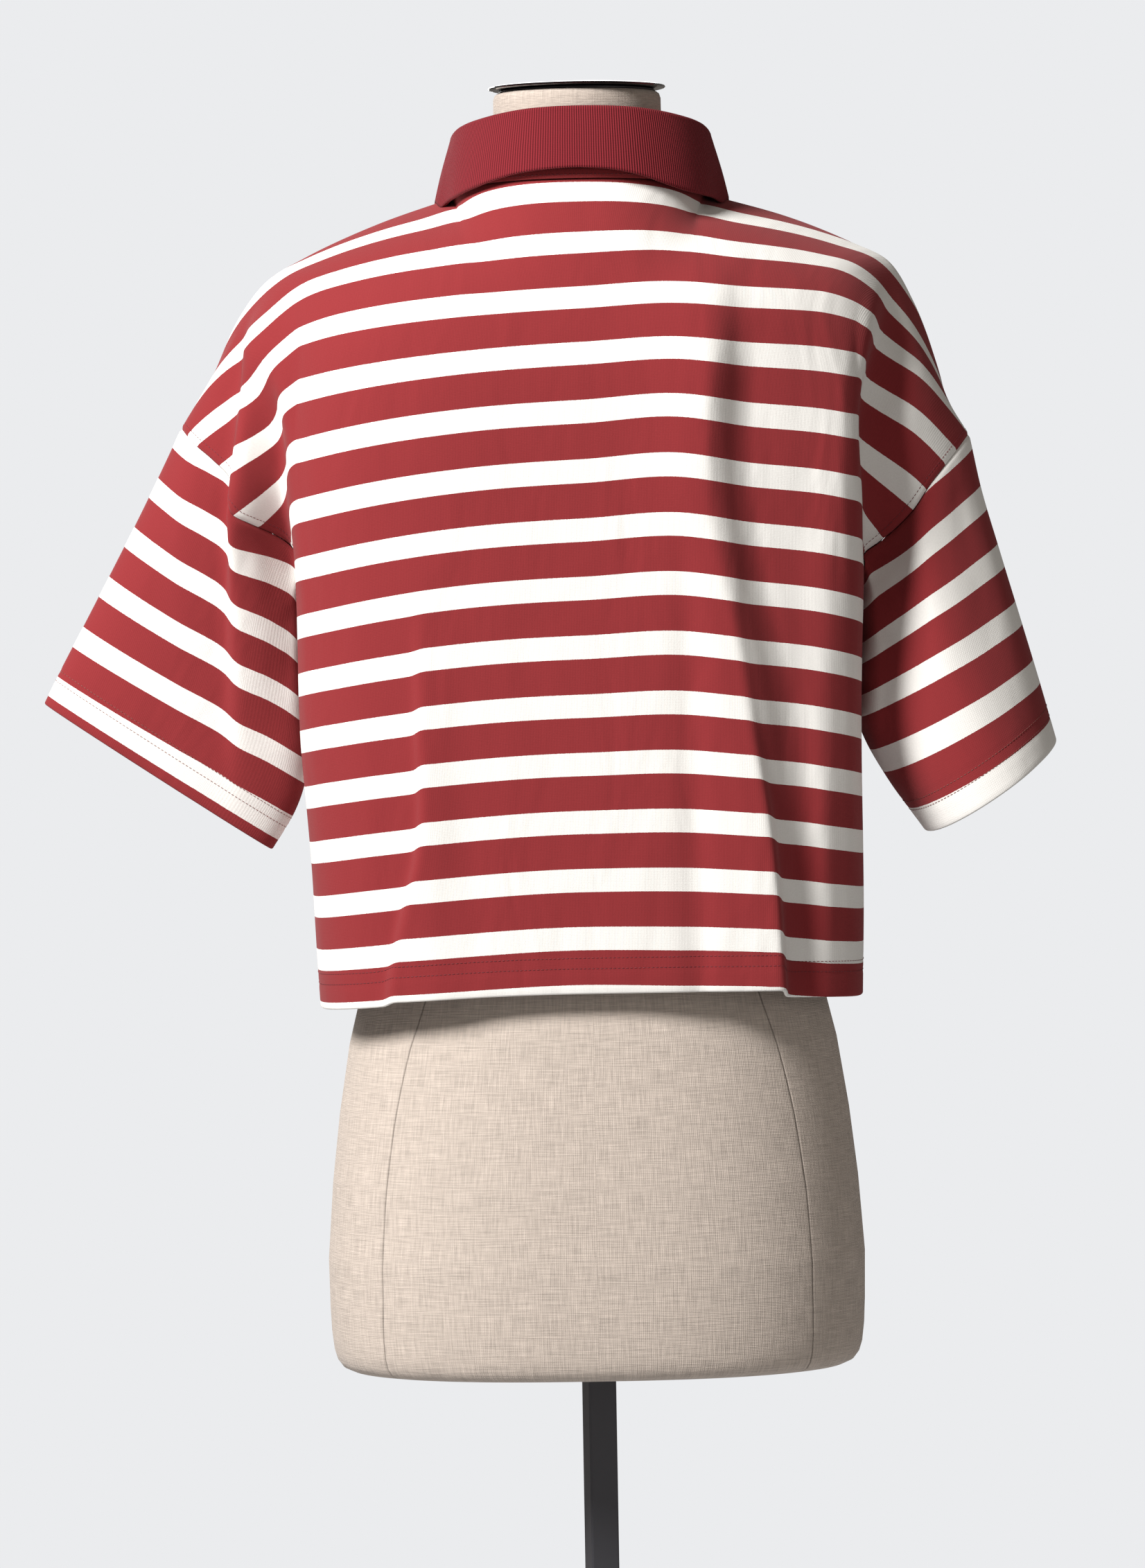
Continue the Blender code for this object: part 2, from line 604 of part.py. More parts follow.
def stripSheet(panel, normal, halfWide, rise, columns=5):
    """Points over rows of a panel, between two straight lines down its centre, so far off its outer side."""
    wanted = np.linspace(-halfWide, halfWide, columns)
    rows, lifts = [], []
    for line, lift in zip(panel, normal):
        rows.append(np.stack([np.interp(wanted, line[:, 0], line[:, i]) for i in range(3)], -1))
        lifts.append(np.stack([np.interp(wanted, line[:, 0], lift[:, i]) for i in range(3)], -1))
    lifts = np.array(lifts)
    lifts /= np.linalg.norm(lifts, axis=-1, keepdims=True)
    return np.array(rows) + lifts * rise, lifts


# The dress form: height, half width, depth behind and before, squareness
formSections = table(
    "height wide back front square",
    (800, 138, 100, 92, 2.5),
    (801.5, 147, 107, 98, 2.5),
    (806, 154.5, 112, 102, 2.5),
    (814, 160, 115.5, 105, 2.5),
    (828, 164.5, 118, 107, 2.5),
    (850, 168, 119, 108, 2.5),
    (880, 168.5, 118.5, 108, 2.5),
    (928, 165, 115, 107, 2.45),
    (971, 160, 110, 105, 2.4),
    (1015, 153, 103, 102, 2.4),
    (1060, 142, 95, 98, 2.4),
    (1105, 129, 86, 94, 2.35),
    (1150, 121, 79, 91, 2.3),
    (1200, 124, 79, 95, 2.3),
    (1250, 133, 84, 107, 2.35),
    (1300, 143, 91, 119, 2.4),
    (1340, 150, 96, 123, 2.45),
    (1380, 156, 99.5, 118, 2.5),
    (1420, 164, 100, 104, 2.5),
    (1450, 173, 96, 90, 2.35),
    (1472, 180.5, 90, 73, 2.1),
    (1485, 183.5, 85, 63, 1.85),
    (1493, 181.5, 81, 58.5, 1.65),
    (1501, 172.5, 77, 56, 1.5),
    (1511, 153, 72.5, 52, 1.42),
    (1521, 130, 68, 45, 1.36),
    (1530, 103, 62.5, 42.5, 1.36),
    (1538, 81, 59, 45, 1.45),
    (1547, 67, 56.5, 50.5, 1.65),
    (1558, 56, 54.5, 52, 1.9),
    (1573, 52.8, 52.8, 52.5, 2.0),
    (1604.5, 52.5, 52.5, 52.5, 2.0),
    (1607.3, 51.6, 51.6, 51.6, 2.0),
    (1608.5, 50.0, 50.0, 50.0, 2.0),
)
formAround = 40
poleWide = 18.0
poleTurn = math.radians(15)
poleUp = 60.0  # how far the pole goes into the form
baseWide = 360.0
baseThick = 8.0
baseCorner = 25.0
fit = 0.3  # between the stand's solids
capSegments = 48


def makeForm(material):
    """The linen-covered body, with a square socket for the pole."""
    points, faces = [], []
    for height, wide, back, front, square in zip(*formSections.values()):
        for i in range(formAround):
            turn = 2 * math.pi * (i + 0.5) / formAround
            c, s = math.cos(turn), math.sin(turn)
            x = wide * math.copysign(abs(c) ** (2 / square), c)
            y = (back if s > 0 else front) * math.copysign(abs(s) ** (2 / square), s)
            points.append((x * MM, y * MM, height * MM))
    rings = len(formSections["height"])
    for ring in range(rings - 1):
        for i in range(formAround):
            j = (i + 1) % formAround
            a, b = ring * formAround, (ring + 1) * formAround
            faces.append([a + i, a + j, b + j, b + i])
    faces.append(list(range(formAround))[::-1])
    faces.append([(rings - 1) * formAround + i for i in range(formAround)])
    mesh = bpy.data.meshes.new("form_torso")
    mesh.from_pydata(points, [], faces)
    form = makeObject("form_torso", mesh, material)
    low = formSections["height"][0]
    socket = block("socket_cut", poleWide + 2 * fit, poleWide + 2 * fit, low - 10, low + poleUp + fit, 0, 1, material)
    socket.hide_render = True
    socket.display_type = "WIRE"
    cut = form.modifiers.new("socket", "BOOLEAN")
    cut.operation = "DIFFERENCE"
    cut.object = socket
    return form


def block(name, wide, deep, low, high, corner, steps, material):
    """An upright block about the pole's axis, turned with it, its upright edges rounded."""
    outline = []
    for right, back in ((1, 1), (-1, 1), (-1, -1), (1, -1)):
        middle = (right * (wide / 2 - corner), back * (deep / 2 - corner))
        first = math.atan2(back, right) - math.pi / 4
        for step in range(steps):
            turn = first + (math.pi / 2 * step / (steps - 1) if steps > 1 else math.pi / 4)
            outline.append((middle[0] + corner * math.cos(turn), middle[1] + corner * math.sin(turn)))
    count = len(outline)
    points = [(x * MM, y * MM, z * MM) for z in (low, high) for x, y in outline]
    faces = [list(range(count))[::-1], list(range(count, 2 * count))]
    faces += [[i, (i + 1) % count, count + (i + 1) % count, count + i] for i in range(count)]
    mesh = bpy.data.meshes.new(name)
    mesh.from_pydata(points, [], faces)
    mesh.transform(Matrix.Rotation(poleTurn, 4, "Z"))
    return makeObject(name, mesh, material)


# How finely the solids are divided
panelSteps = np.concatenate([[0.0, 0.027, 0.055], np.linspace(0.085, neckS, 5), np.linspace(0.36, 0.60, 5)])
panelColumns = np.concatenate([panelSteps, np.linspace(0.645, 1.0, 11)])
upperRows = np.concatenate([[0.0, 0.25, 0.5], np.arange(1, 12)]) / 11
lowerRows = np.linspace(underarmT, 1.0, 8)[1:]
sleeveRows = np.linspace(0, 1, 9)
collarColumns = np.concatenate([np.linspace(0, 0.9, 19), [0.945, collarEnd]])


def off(line, beside, closed=0):
    """Steps off a seam, towards the points beside it and square to the seam."""
    around = np.concatenate([line[-closed:], line, line[:closed]]) if closed else line
    along = np.gradient(around, axis=0)[closed : closed + len(line)]
    along /= np.linalg.norm(along, axis=-1, keepdims=True)
    step = beside - line
    step -= along * (step * along).sum(axis=-1, keepdims=True)
    return step / np.linalg.norm(step, axis=-1, keepdims=True) * seamStep


def meet(ends):
    """Turn the normals of pieces that meet at a seam the same way; at a sharp crease sink them apart instead."""
    both = sum(normal[place] for _, normal, place in ends) / len(ends)
    share = min(1.0, max(0.0, (np.linalg.norm(both) - 0.75) / 0.2))
    for sheet, normal, place in ends:
        sheet[place] -= normal[place] * creaseStep * (1 - share)
        aimed = normal[place] * (1 - share) + both * share
        normal[place] = aimed / np.linalg.norm(aimed)


def makeShirt():
    jerseyCloth = newMaterial("striped_cotton_jersey", "A8403F", 0.9)
    ribKnit = newMaterial("burgundy_rib_knit", "943A3D", 0.9)
    plain = newMaterial("burgundy_plain_jersey", "9A3C3F", 0.9)
    shell = newMaterial("burgundy_button_resin", "6E2A2E", 0.35)
    endShoulders()
    sList = np.concatenate([-panelColumns[:0:-1], panelColumns])
    tList = np.concatenate([upperRows * underarmT, lowerRows])
    upper = len(upperRows)
    back = panelSheet(1, sList, tList, backFolds)
    front = panelSheet(-1, sList, tList, frontFolds)
    backNormal, frontNormal = faceNormals(back, 1), faceNormals(front, -1)
    onSeam = np.abs(sList) > neckS - 1e-6
    shared = backNormal[0, onSeam] + frontNormal[0, onSeam]
    backNormal[0, onSeam] = frontNormal[0, onSeam] = shared / np.linalg.norm(shared, axis=-1, keepdims=True)
    sleeves = {side: sleeveSheet(side, sleeveRows, upperRows) for side in sides}
    for side, column in (("right", 0), ("left", len(sList) - 1)):
        ring, ringNormal = sleeves[side]
        count = ring.shape[1]
        last = upper - 1
        for r in range(len(tList)):
            pieces = [(back, backNormal, (r, column)), (front, frontNormal, (r, column))]
            if r == 0:
                meet(pieces + [(ring, ringNormal, (0, 0))])
            elif r < last:
                meet([pieces[0], (ring, ringNormal, (0, r))])
                meet([pieces[1], (ring, ringNormal, (0, count - r))])
            else:
                meet(pieces)
        ring[0, last] -= ringNormal[0, last] * creaseStep
    for sheet in (back, front):
        for column, beside in ((0, 1), (-1, -2)):
            sheet[:, column] += off(sheet[:, column], sheet[:, beside])
        sheet[0, onSeam] += off(sheet[0], sheet[1])[onSeam]
    wall("back_panel", back, backNormal, jersey, jerseyCloth)
    cells = np.ones((len(tList) - 1, len(sList) - 1), bool)
    cells[np.ix_(tList[:-1] < slitDown, np.abs((sList[1:] + sList[:-1]) / 2) < slitS)] = False
    wall("front_panel", front, frontNormal, jersey, jerseyCloth, left=cells)
    for side, (sheet, normal) in sleeves.items():
        sheet[0] += off(sheet[0], sheet[1], 1)
        wall("sleeve_" + side, sheet, normal, jersey, jerseyCloth, wrap=True)

    half = collarSheet(collarColumns, clothUnder((back, front)))
    sheet = bothHalves(half)
    sheet[..., 0] += collarLean * np.clip(np.arange(len(sheet)) / 4, 0, 1)[:, None]
    point, out = neckPlace(collarColumns)
    toward = np.zeros_like(half)
    toward[-3:] = out
    wall("collar", sheet, gridNormals(sheet, bothHalves(toward)), rib, ribKnit)

    bandColumns = collarColumns[collarColumns < bandEnd]
    point, out = neckPlace(bandColumns)
    rise = np.array([0, 0, 1.0])
    band = np.array([point + out * (fit + bandWall) + rise * (0.8 + bandHeight * f) for f in (1.0, 0.0)])
    sheet = bothHalves(band)
    wall("neck_band", sheet, gridNormals(sheet, bothHalves(np.array([out, out]))), bandWall, plain)

    under = tList < placketDown
    strip = front[under], frontNormal[under]
    sheet, normal = stripSheet(*strip, placketWidth / 2, fit + stripWall)
    sheet[0] += (sheet[1] - sheet[0]) * placketStart
    wall("placket_top", sheet, normal, stripWall, plain)
    sheet, normal = stripSheet(*strip, placketWidth / 2, -jersey - fit)
    sheet[0] += (sheet[1] - sheet[0]) * placketStart
    wall("placket_under", sheet, normal, stripWall, plain)
    middle, outward = stripSheet(*strip, 2.0, 2 * fit + stripWall, 3)
    run = np.concatenate([[0], np.cumsum(np.linalg.norm(np.diff(middle[:, 1], axis=0), axis=1))])
    for number, down in enumerate(buttonPlaces, 1):
        at = Vector([np.interp(down, run, middle[:, 1, i]) * MM for i in range(3)])
        facing = Vector([np.interp(down, run, outward[:, 1, i]) for i in range(3)])
        place = Matrix.Translation(at) @ facing.to_track_quat("Z", "Y").to_matrix().to_4x4()
        turned("button_%d" % number, buttonProfile, buttonSegments, shell, place)


def makeStand():
    linen = newMaterial("natural_linen", "DBCCBB", 0.95)
    chrome = newMaterial("polished_chrome", "C8C9CC", 0.12, 1.0)
    darkSteel = newMaterial("black_painted_steel", "2E2E30", 0.45)
    makeForm(linen)
    top = formSections["height"][-1]
    turned("neck_boss", ((48.4, top + fit), (49.0, top + 0.7), (49.0, top + 1.1), (48.4, top + 1.5)), capSegments, darkSteel)
    rim = top + 1.5 + fit
    profile = (
        (48.0, rim),
        (53.2, rim + 0.3),
        (55.1, rim + 0.8),
        (55.6, rim + 1.4),
        (55.3, rim + 2.0),
        (54.0, rim + 2.3),
        (47.0, rim + 2.1),
        (24.0, rim + 1.9),
    )
    turned("neck_cap", profile, capSegments, chrome)
    low = formSections["height"][0]
    block("pole", poleWide, poleWide, baseThick + fit, low + poleUp, 1.2, 3, darkSteel)
    block("base", baseWide, baseWide, 0, baseThick, baseCorner, 7, darkSteel)


for thing in list(bpy.data.objects):
    bpy.data.objects.remove(thing)
makeShirt()
makeStand()
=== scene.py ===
import math

import bpy
import numpy as np
from mathutils import Matrix, Vector
from mathutils.bvhtree import BVHTree


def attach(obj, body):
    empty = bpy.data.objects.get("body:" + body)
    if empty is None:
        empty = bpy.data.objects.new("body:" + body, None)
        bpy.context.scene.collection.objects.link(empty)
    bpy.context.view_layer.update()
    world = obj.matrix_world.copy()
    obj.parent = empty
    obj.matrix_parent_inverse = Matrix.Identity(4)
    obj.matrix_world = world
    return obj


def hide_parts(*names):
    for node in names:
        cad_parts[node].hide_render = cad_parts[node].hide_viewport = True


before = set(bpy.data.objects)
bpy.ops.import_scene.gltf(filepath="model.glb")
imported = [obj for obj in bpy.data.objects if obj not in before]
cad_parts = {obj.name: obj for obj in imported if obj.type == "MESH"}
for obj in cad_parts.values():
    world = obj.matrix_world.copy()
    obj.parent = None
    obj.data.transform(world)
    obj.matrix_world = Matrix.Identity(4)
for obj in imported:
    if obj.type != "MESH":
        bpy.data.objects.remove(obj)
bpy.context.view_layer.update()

# Shapes are worked out in millimetres in the frame of the solids: the shirt's front faces -Y, its left is +X
mm = 0.001


def table(names, *rows):  # rows of numbers under named columns
    return dict(zip(names.split(), np.array(rows, float).T))


def smooth(rows, column, at):  # a smooth curve through one column, read at places along the first one
    x, y = rows[list(rows)[0]], rows[column]
    slope = np.gradient(y, x)
    at = np.clip(np.asarray(at, float), x[0], x[-1])
    i = np.clip(np.searchsorted(x, at) - 1, 0, len(x) - 2)
    h = x[i + 1] - x[i]
    f = (at - x[i]) / h
    return (
        y[i] * (1 + 2 * f) * (1 - f) ** 2
        + y[i + 1] * f * f * (3 - 2 * f)
        + h * slope[i] * f * (1 - f) ** 2
        - h * slope[i + 1] * f * f * (1 - f)
    )


def unit(vectors):
    return vectors / np.maximum(np.linalg.norm(vectors, axis=-1, keepdims=True), 1e-9)


def ease(value, start, stretch):  # from 0 to 1, over a stretch of the value
    return np.clip((value - start) / stretch, 0, 1)


def runLengths(line):  # lengths along a line of points
    return np.concatenate([[0], np.cumsum(np.linalg.norm(np.diff(line, axis=0), axis=1))])


def along(at, run, line):  # points of a line, read at lengths along it
    return np.stack([np.interp(at, run, column) for column in line.T], -1)


def curve(rows, at):  # places on a line that is given by its across, depth and height
    return np.stack([smooth(rows, key, at) for key in ("across", "depth", "height")], -1)


# Materials

def linear(hexColour):  # sRGB hex to the linear values that the sockets take
    parts = [int(hexColour[i : i + 2], 16) / 255 for i in (0, 2, 4)]
    return [c / 12.92 if c <= 0.04045 else ((c + 0.055) / 1.055) ** 2.4 for c in parts] + [1.0]


def feed(tree, node, inputs):  # gives a node values or links for its inputs
    for key, value in inputs.items():
        if isinstance(value, bpy.types.Node):
            value = value.outputs[0]
        if isinstance(value, bpy.types.NodeSocket):
            tree.links.new(value, node.inputs[key])
        else:
            node.inputs[key].default_value = value


def addNode(tree, kind, inputs=None, **settings):  # a node with its inputs and settings
    node = tree.nodes.new(kind)
    for key, value in settings.items():
        setattr(node, key, value)
    feed(tree, node, inputs or {})
    return node


def newMaterial(name, hexColour, roughness, finish=None):  # finish gives values for more of the shader's sockets
    material = bpy.data.materials.new(name)
    material.use_nodes = True
    shader = material.node_tree.nodes["Principled BSDF"]
    feed(material.node_tree, shader, {"Base Color": linear(hexColour), "Roughness": roughness, **(finish or {})})
    return material, material.node_tree, shader


def flatPlace(tree):  # the place on the flat cut, in millimetres: X across, Y down
    uv = addNode(tree, "ShaderNodeUVMap", uv_map="flat")
    return addNode(tree, "ShaderNodeVectorMath", {"Vector": uv, "Scale": 1000.0}, operation="SCALE")


def waveScale(pitch):  # the scale that gives a wave texture its pitch in millimetres
    return math.pi / 10 / pitch


multiplyAdd = {"operation": "MULTIPLY_ADD"}  # first times second, plus third
multiplyColours = {"data_type": "RGBA", "blend_type": "MULTIPLY"}
alongY = {"bands_direction": "Y"}


def finishCloth(tree, shader, colour, tone, relief):  # the colour times its tone, which for the rib and the linen also holds painted shade, and the relief of the threads
    dyed = addNode(tree, "ShaderNodeMix", {0: 1.0, 6: colour, 7: tone}, **multiplyColours)
    bump = addNode(tree, "ShaderNodeBump", relief)
    feed(tree, shader, {"Base Color": dyed.outputs[2], "Normal": bump})


jersey = {
    "red": "882D30",
    "cream": "ECEBE7",
    "repeat": 36.0,  # mm from one cream stripe to the next
    "creamWide": 14.4,
    "ragged": 0.5,  # mm by which the loops make a stripe's edge uneven
    "firstCream": 3.5,  # mm under the back neck seam
    "wale": 1.15,  # the knit's own columns of loops, drawn a little coarser than they are
    "course": 1.0,
    "wall": 1.2,
    "sleeveCream": {"left": 5.0, "right": -1.6},  # mm from the sleeve's hem to its first cream stripe
}


def jerseyMaterial(name, firstCream, striped=True):
    # Combed cotton single jersey, yarn dyed and knitted in stripes: matt, a little fuzzy, with fine upright wales
    finish = {"Sheen Weight": 0.07, "Sheen Roughness": 0.6, "Specular IOR Level": 0.10}
    material, tree, shader = newMaterial(name, jersey["red"], 0.92, finish)
    place, colour = flatPlace(tree), linear(jersey["red"])
    speck = addNode(tree, "ShaderNodeTexNoise", {"Vector": place, "Scale": 0.9, "Detail": 3.0, "Roughness": 0.6})
    tone = addNode(tree, "ShaderNodeMapRange", {"Value": speck, "To Min": 0.90, "To Max": 1.06})
    if striped:
        down = addNode(tree, "ShaderNodeSeparateXYZ", {"Vector": place}).outputs[1]
        ragged = addNode(tree, "ShaderNodeMath", {0: speck, 1: jersey["ragged"], 2: down}, **multiplyAdd)
        start = firstCream + jersey["ragged"] / 2
        turns = {"Value": ragged, "From Min": start, "From Max": start + jersey["repeat"]}
        turn = addNode(tree, "ShaderNodeMapRange", turns, clamp=False)
        phase = addNode(tree, "ShaderNodeMath", {0: turn}, operation="FRACT")
        share = jersey["creamWide"] / jersey["repeat"]
        isCream = addNode(tree, "ShaderNodeMath", {0: phase, 1: share}, operation="LESS_THAN")
        pair = {0: isCream, 6: colour, 7: linear(jersey["cream"])}
        colour = addNode(tree, "ShaderNodeMix", pair, data_type="RGBA").outputs[2]
    # Soft unevenness of hanging cloth, longer down than across, then the loops of the knit
    hung = addNode(tree, "ShaderNodeMapping", {"Vector": place, "Scale": (1.0, 0.4, 1.0)})
    uneven = {"Vector": hung, "Scale": 0.022, "Detail": 2.5, "Distortion": 0.5}
    slack = addNode(tree, "ShaderNodeTexNoise", uneven)
    soft = addNode(tree, "ShaderNodeBump", {"Height": slack, "Strength": 0.5, "Distance": 5.0 * mm})
    wales = addNode(tree, "ShaderNodeTexWave", {"Vector": place, "Scale": waveScale(jersey["wale"])})
    courses = addNode(tree, "ShaderNodeTexWave", {"Vector": place, "Scale": waveScale(jersey["course"])}, **alongY)
    parts = {0: courses.outputs["Fac"], 1: 0.5, 2: wales.outputs["Fac"]}
    loops = addNode(tree, "ShaderNodeMath", parts, **multiplyAdd)
    height = addNode(tree, "ShaderNodeMath", {0: speck, 1: 1.4, 2: loops}, **multiplyAdd)
    knit = {"Height": height, "Strength": 0.35, "Distance": 0.12 * mm, "Normal": soft}
    finishCloth(tree, shader, colour, tone, knit)
    return material


rib = {"red": "852830", "pitch": 1.42, "course": 1.1}


def ribMaterial(name):
    # Cotton 1x1 rib, knitted to shape on a flat bed: upright ribs, with painted shade darkening the hollows between
    # them and a painted highlight lightening their crests
    finish = {"Sheen Weight": 0.04, "Sheen Roughness": 0.6, "Specular IOR Level": 0.1}
    material, tree, shader = newMaterial(name, rib["red"], 0.92, finish)
    place = flatPlace(tree)
    uneven = {"Vector": place, "Scale": waveScale(rib["pitch"]), "Distortion": 0.7, "Detail": 1.0, "Detail Scale": 0.4}
    ribs = addNode(tree, "ShaderNodeTexWave", uneven).outputs["Fac"]
    rows = addNode(tree, "ShaderNodeTexWave", {"Vector": place, "Scale": waveScale(rib["course"])}, **alongY)
    # painted shade and highlight: the rib wave darkens the colour to 0.42 in the hollows and lifts it to 1.12 on the
    # crests
    tone = addNode(tree, "ShaderNodeMapRange", {"Value": ribs, "To Min": 0.42, "To Max": 1.12, "From Max": 1.0})
    height = addNode(tree, "ShaderNodeMath", {0: rows.outputs["Fac"], 1: 0.2, 2: ribs}, **multiplyAdd)
    knit = {"Height": height, "Strength": 0.8, "Distance": 0.4 * mm}
    finishCloth(tree, shader, linear(rib["red"]), tone, knit)
    return material


def threadMaterial(name, hexColour):
    # Spun polyester sewing thread: a soft shine along the twist
    return newMaterial(name, hexColour, 0.6)[0]


# Cloth meshes

def placed(name, data):  # an object with this data, in the scene
    thing = bpy.data.objects.new(name, data)
    bpy.context.collection.objects.link(thing)
    return thing


def gridCells(rows, columns, wrap=False, holes=None):  # the corners of a grid's cells, and each cell's row and column
    r, c = np.meshgrid(np.arange(rows - 1), np.arange(columns if wrap else columns - 1), indexing="ij")
    if holes is not None:
        r, c = r[~holes], c[~holes]
    r, c = r.ravel(), c.ravel()
    d = (c + 1) % columns
    return np.stack([r * columns + c, r * columns + d, (r + 1) * columns + d, (r + 1) * columns + c], -1), r, c


def gridObject(name, sheet, outward, flat, material, wall=None, wrap=False, holes=None, seams=None):
    # A cloth from a grid of points, with its flat cut as UV; flat has one column more than sheet if it wraps
    rows, columns = sheet.shape[:2]
    outward = np.concatenate([outward, np.zeros((rows - len(outward), columns, 3))])
    faces, r, c = gridCells(rows, columns, wrap, holes)
    corners = np.stack([flat[r, c], flat[r, c + 1], flat[r + 1, c + 1], flat[r + 1, c]], 1)
    p = sheet.reshape(-1, 3)
    way = np.cross(p[faces[:, 2]] - p[faces[:, 0]], p[faces[:, 3]] - p[faces[:, 1]])
    if (way * outward.reshape(-1, 3)[faces[:, 0]]).sum() < 0:
        faces, corners = faces[:, ::-1], corners[:, ::-1]
    used, faces = np.unique(faces, return_inverse=True)
    faces = faces.reshape(-1, 4)
    mesh = bpy.data.meshes.new(name)
    mesh.from_pydata((p[used] * mm).tolist(), [], faces.tolist())
    layer = mesh.uv_layers.new(name="flat")
    layer.data.foreach_set("uv", (corners.reshape(-1) * mm))
    # the seam values say how far the cloth sinks at each seam; the linen turns them into painted shade
    if seams is not None:
        mesh.attributes.new("seam", "FLOAT", "POINT").data.foreach_set("value", seams.reshape(-1)[used])
    mesh.shade_smooth()
    mesh.materials.append(material)
    thing = placed(name, mesh)
    if wall is not None:
        shell = thing.modifiers.new("wall", "SOLIDIFY")
        shell.thickness = wall * mm
        shell.offset = -1.0
        shell.use_rim = True
    return thing


def away(sheet, axis, fromEnd=False):  # lengths along a grid from its first or last row or column
    steps = np.linalg.norm(np.diff(sheet, axis=axis), axis=-1)
    if fromEnd:
        steps = np.flip(steps, axis)
    run = np.cumsum(steps, axis=axis)
    shape = list(run.shape)
    shape[axis] = 1
    run = np.concatenate([np.zeros(shape), run], axis=axis)
    return np.flip(run, axis) if fromEnd else run


def straightCut(across, sheet):  # the flat cut of a sheet with straight columns at these lengths across
    return np.stack([np.broadcast_to(across, sheet.shape[:2]), away(sheet, 0)], -1)


def pointsAt(lines, run, distance):  # the point at one distance along each line
    return np.array([along(distance, length, line) for line, length in zip(lines, run)])


def turnHem(sheet, normal, flat, deep, way):  # the cloth goes round the fold at the last row and up inside
    gap = shirt["hemGap"]
    down = unit(sheet[-1] - sheet[-2])
    middle = sheet[-1] - normal[-1] * gap / 2
    rows, levels = [], []
    for turn in np.linspace(0, math.pi, 6)[1:]:
        rows.append(middle + normal[-1] * gap / 2 * math.cos(turn) + down * gap / 2 * math.sin(turn))
        levels.append(gap / 2 * turn)
    run = away(sheet, 0, fromEnd=True)
    lines = (sheet - normal * gap)[::-1].transpose(1, 0, 2)
    for f in np.linspace(0, 1, 9)[1:]:
        rows.append(pointsAt(lines, run[::-1].T, deep * f))
        levels.append(levels[4] + deep * f)
    turned = np.stack([np.tile(flat[-1, :, 0], (len(rows), 1)), flat[-1, :, 1] + way * np.array(levels)[:, None]], -1)
    return np.concatenate([sheet, rows]), np.concatenate([flat, turned])


# The shirt: sizes on the flat pattern, and places on a panel: s from the centre (0) to the side (1), t down to the hem
shirt = {
    "bodyLength": 512.0,
    "neckWidth": 92.0,  # half the width of the neck
    "neckRise": 22.0,  # how far the shoulder's neck end lies above the back neck
    "frontNeckDown": 62.0,
    "shoulderTip": 300.0,  # half the width at the shoulder tips
    "shoulderSlope": 0.249,
    "underarmDown": 235.0,
    "underarmT": 0.46,
    "neckS": 0.30,
    "bodyHem": 24.0,
    "sleeveHem": 24.0,
    "hemGap": 2.4,
    "seamTuck": 1.0,  # how deep the cloth turns in at a seam, and over what distance
    "tuckWide": 1.5,
    "slitDown": 0.35,  # the slit under the placket, as a part of the front's height, and half its width
    "slitHalf": 0.03,
    "sleeveLong": {"left": 199.0, "right": 187.0},
    "sleeveInner": 166.0,
    "sleeveHalfRound": 205.0,
}
topBlend = {1: 0.20, -1: 0.30}  # how far down the top edge shapes the back (1) and the front (-1)
hemSide = {"left": 1044.5, "right": 1047.5}  # height of the hem at the side seams

# The neck seam, from the centre back (0) round the side (0.5) to the centre front (1)
neckRing = table(
    "q across depth height",
    (-0.15, -36, 61, 1551.7), (0.00, 0, 66, 1552.2), (0.15, 36, 61, 1551.7), (0.30, 65, 41, 1550),
    (0.42, 78, 15, 1547.4), (0.50, 80.5, -6, 1545), (0.62, 77, -32, 1532), (0.76, 60, -56, 1513),
    (0.90, 28, -71, 1496), (1.00, 0, -74, 1492), (1.10, -28, -71, 1496),
)
sides = {
    "left": {
        "sign": 1,
        "shoulder": table(
            "s across depth height",
            (0.30, 80.5, -6, 1545), (0.43, 127, -8, 1529.5), (0.57, 174.3, -9, 1508.6),
            (0.65, 196.5, -10, 1495.5), (0.74, 215, -16, 1473), (0.86, 232, -24, 1437),
            (1.00, 248.4, -28.7, 1398),
        ),
        "armhole": {"tip": (252.5, -8, 1403), "under": (171, 0, 1304), "back": 42, "front": 60, "square": 1.65},
        "seamAhead": 26.0,
        "dropPower": 2.2,
        "dip": 0.0,
    },
    "right": {
        "sign": -1,
        "shoulder": table(
            "s across depth height",
            (0.30, 80.5, -6, 1545), (0.43, 130, -8, 1530.5), (0.57, 172, -9, 1513), (0.65, 194, -10, 1501.5),
            (0.74, 210, -18, 1476), (0.86, 226, -32, 1432), (1.00, 235.2, -42, 1381.6),
        ),
        "armhole": {"tip": (243, -8, 1391), "under": (169, 0, 1302), "back": 38, "front": 60, "square": 1.65},
        "seamAhead": 48.0,
        "dropPower": 4.0,
        "dip": 7.0,
    },
}
# Sections of the worn body: level down the pattern, half widths, depth and height at the centre, droop, squareness
backSections = table(
    "level left right depth height dropLeft dropRight square",
    (-0.05, 190, 188, 53, 1575, 0, 0, 2.1), (0.00, 190, 188, 66, 1552.5, 0, 4, 2.1),
    (0.07, 189.5, 187, 83, 1519.5, 4, 6, 2.3), (0.15, 189, 184, 98, 1479, 16, 12, 2.7),
    (0.23, 188.5, 181, 106.5, 1439, 21, 12, 3.1), (0.32, 188, 179, 109, 1394, 22, 13, 3.4),
    (0.46, 187, 177.5, 109.5, 1324.5, 21, 15, 3.5), (0.64, 185.8, 175, 110.5, 1232, 19.5, 14.5, 3.4),
    (0.82, 177.5, 173.5, 111.5, 1141, 17, 13, 3.3), (1.00, 172, 171, 112, 1050.5, 10, 7, 3.2),
)
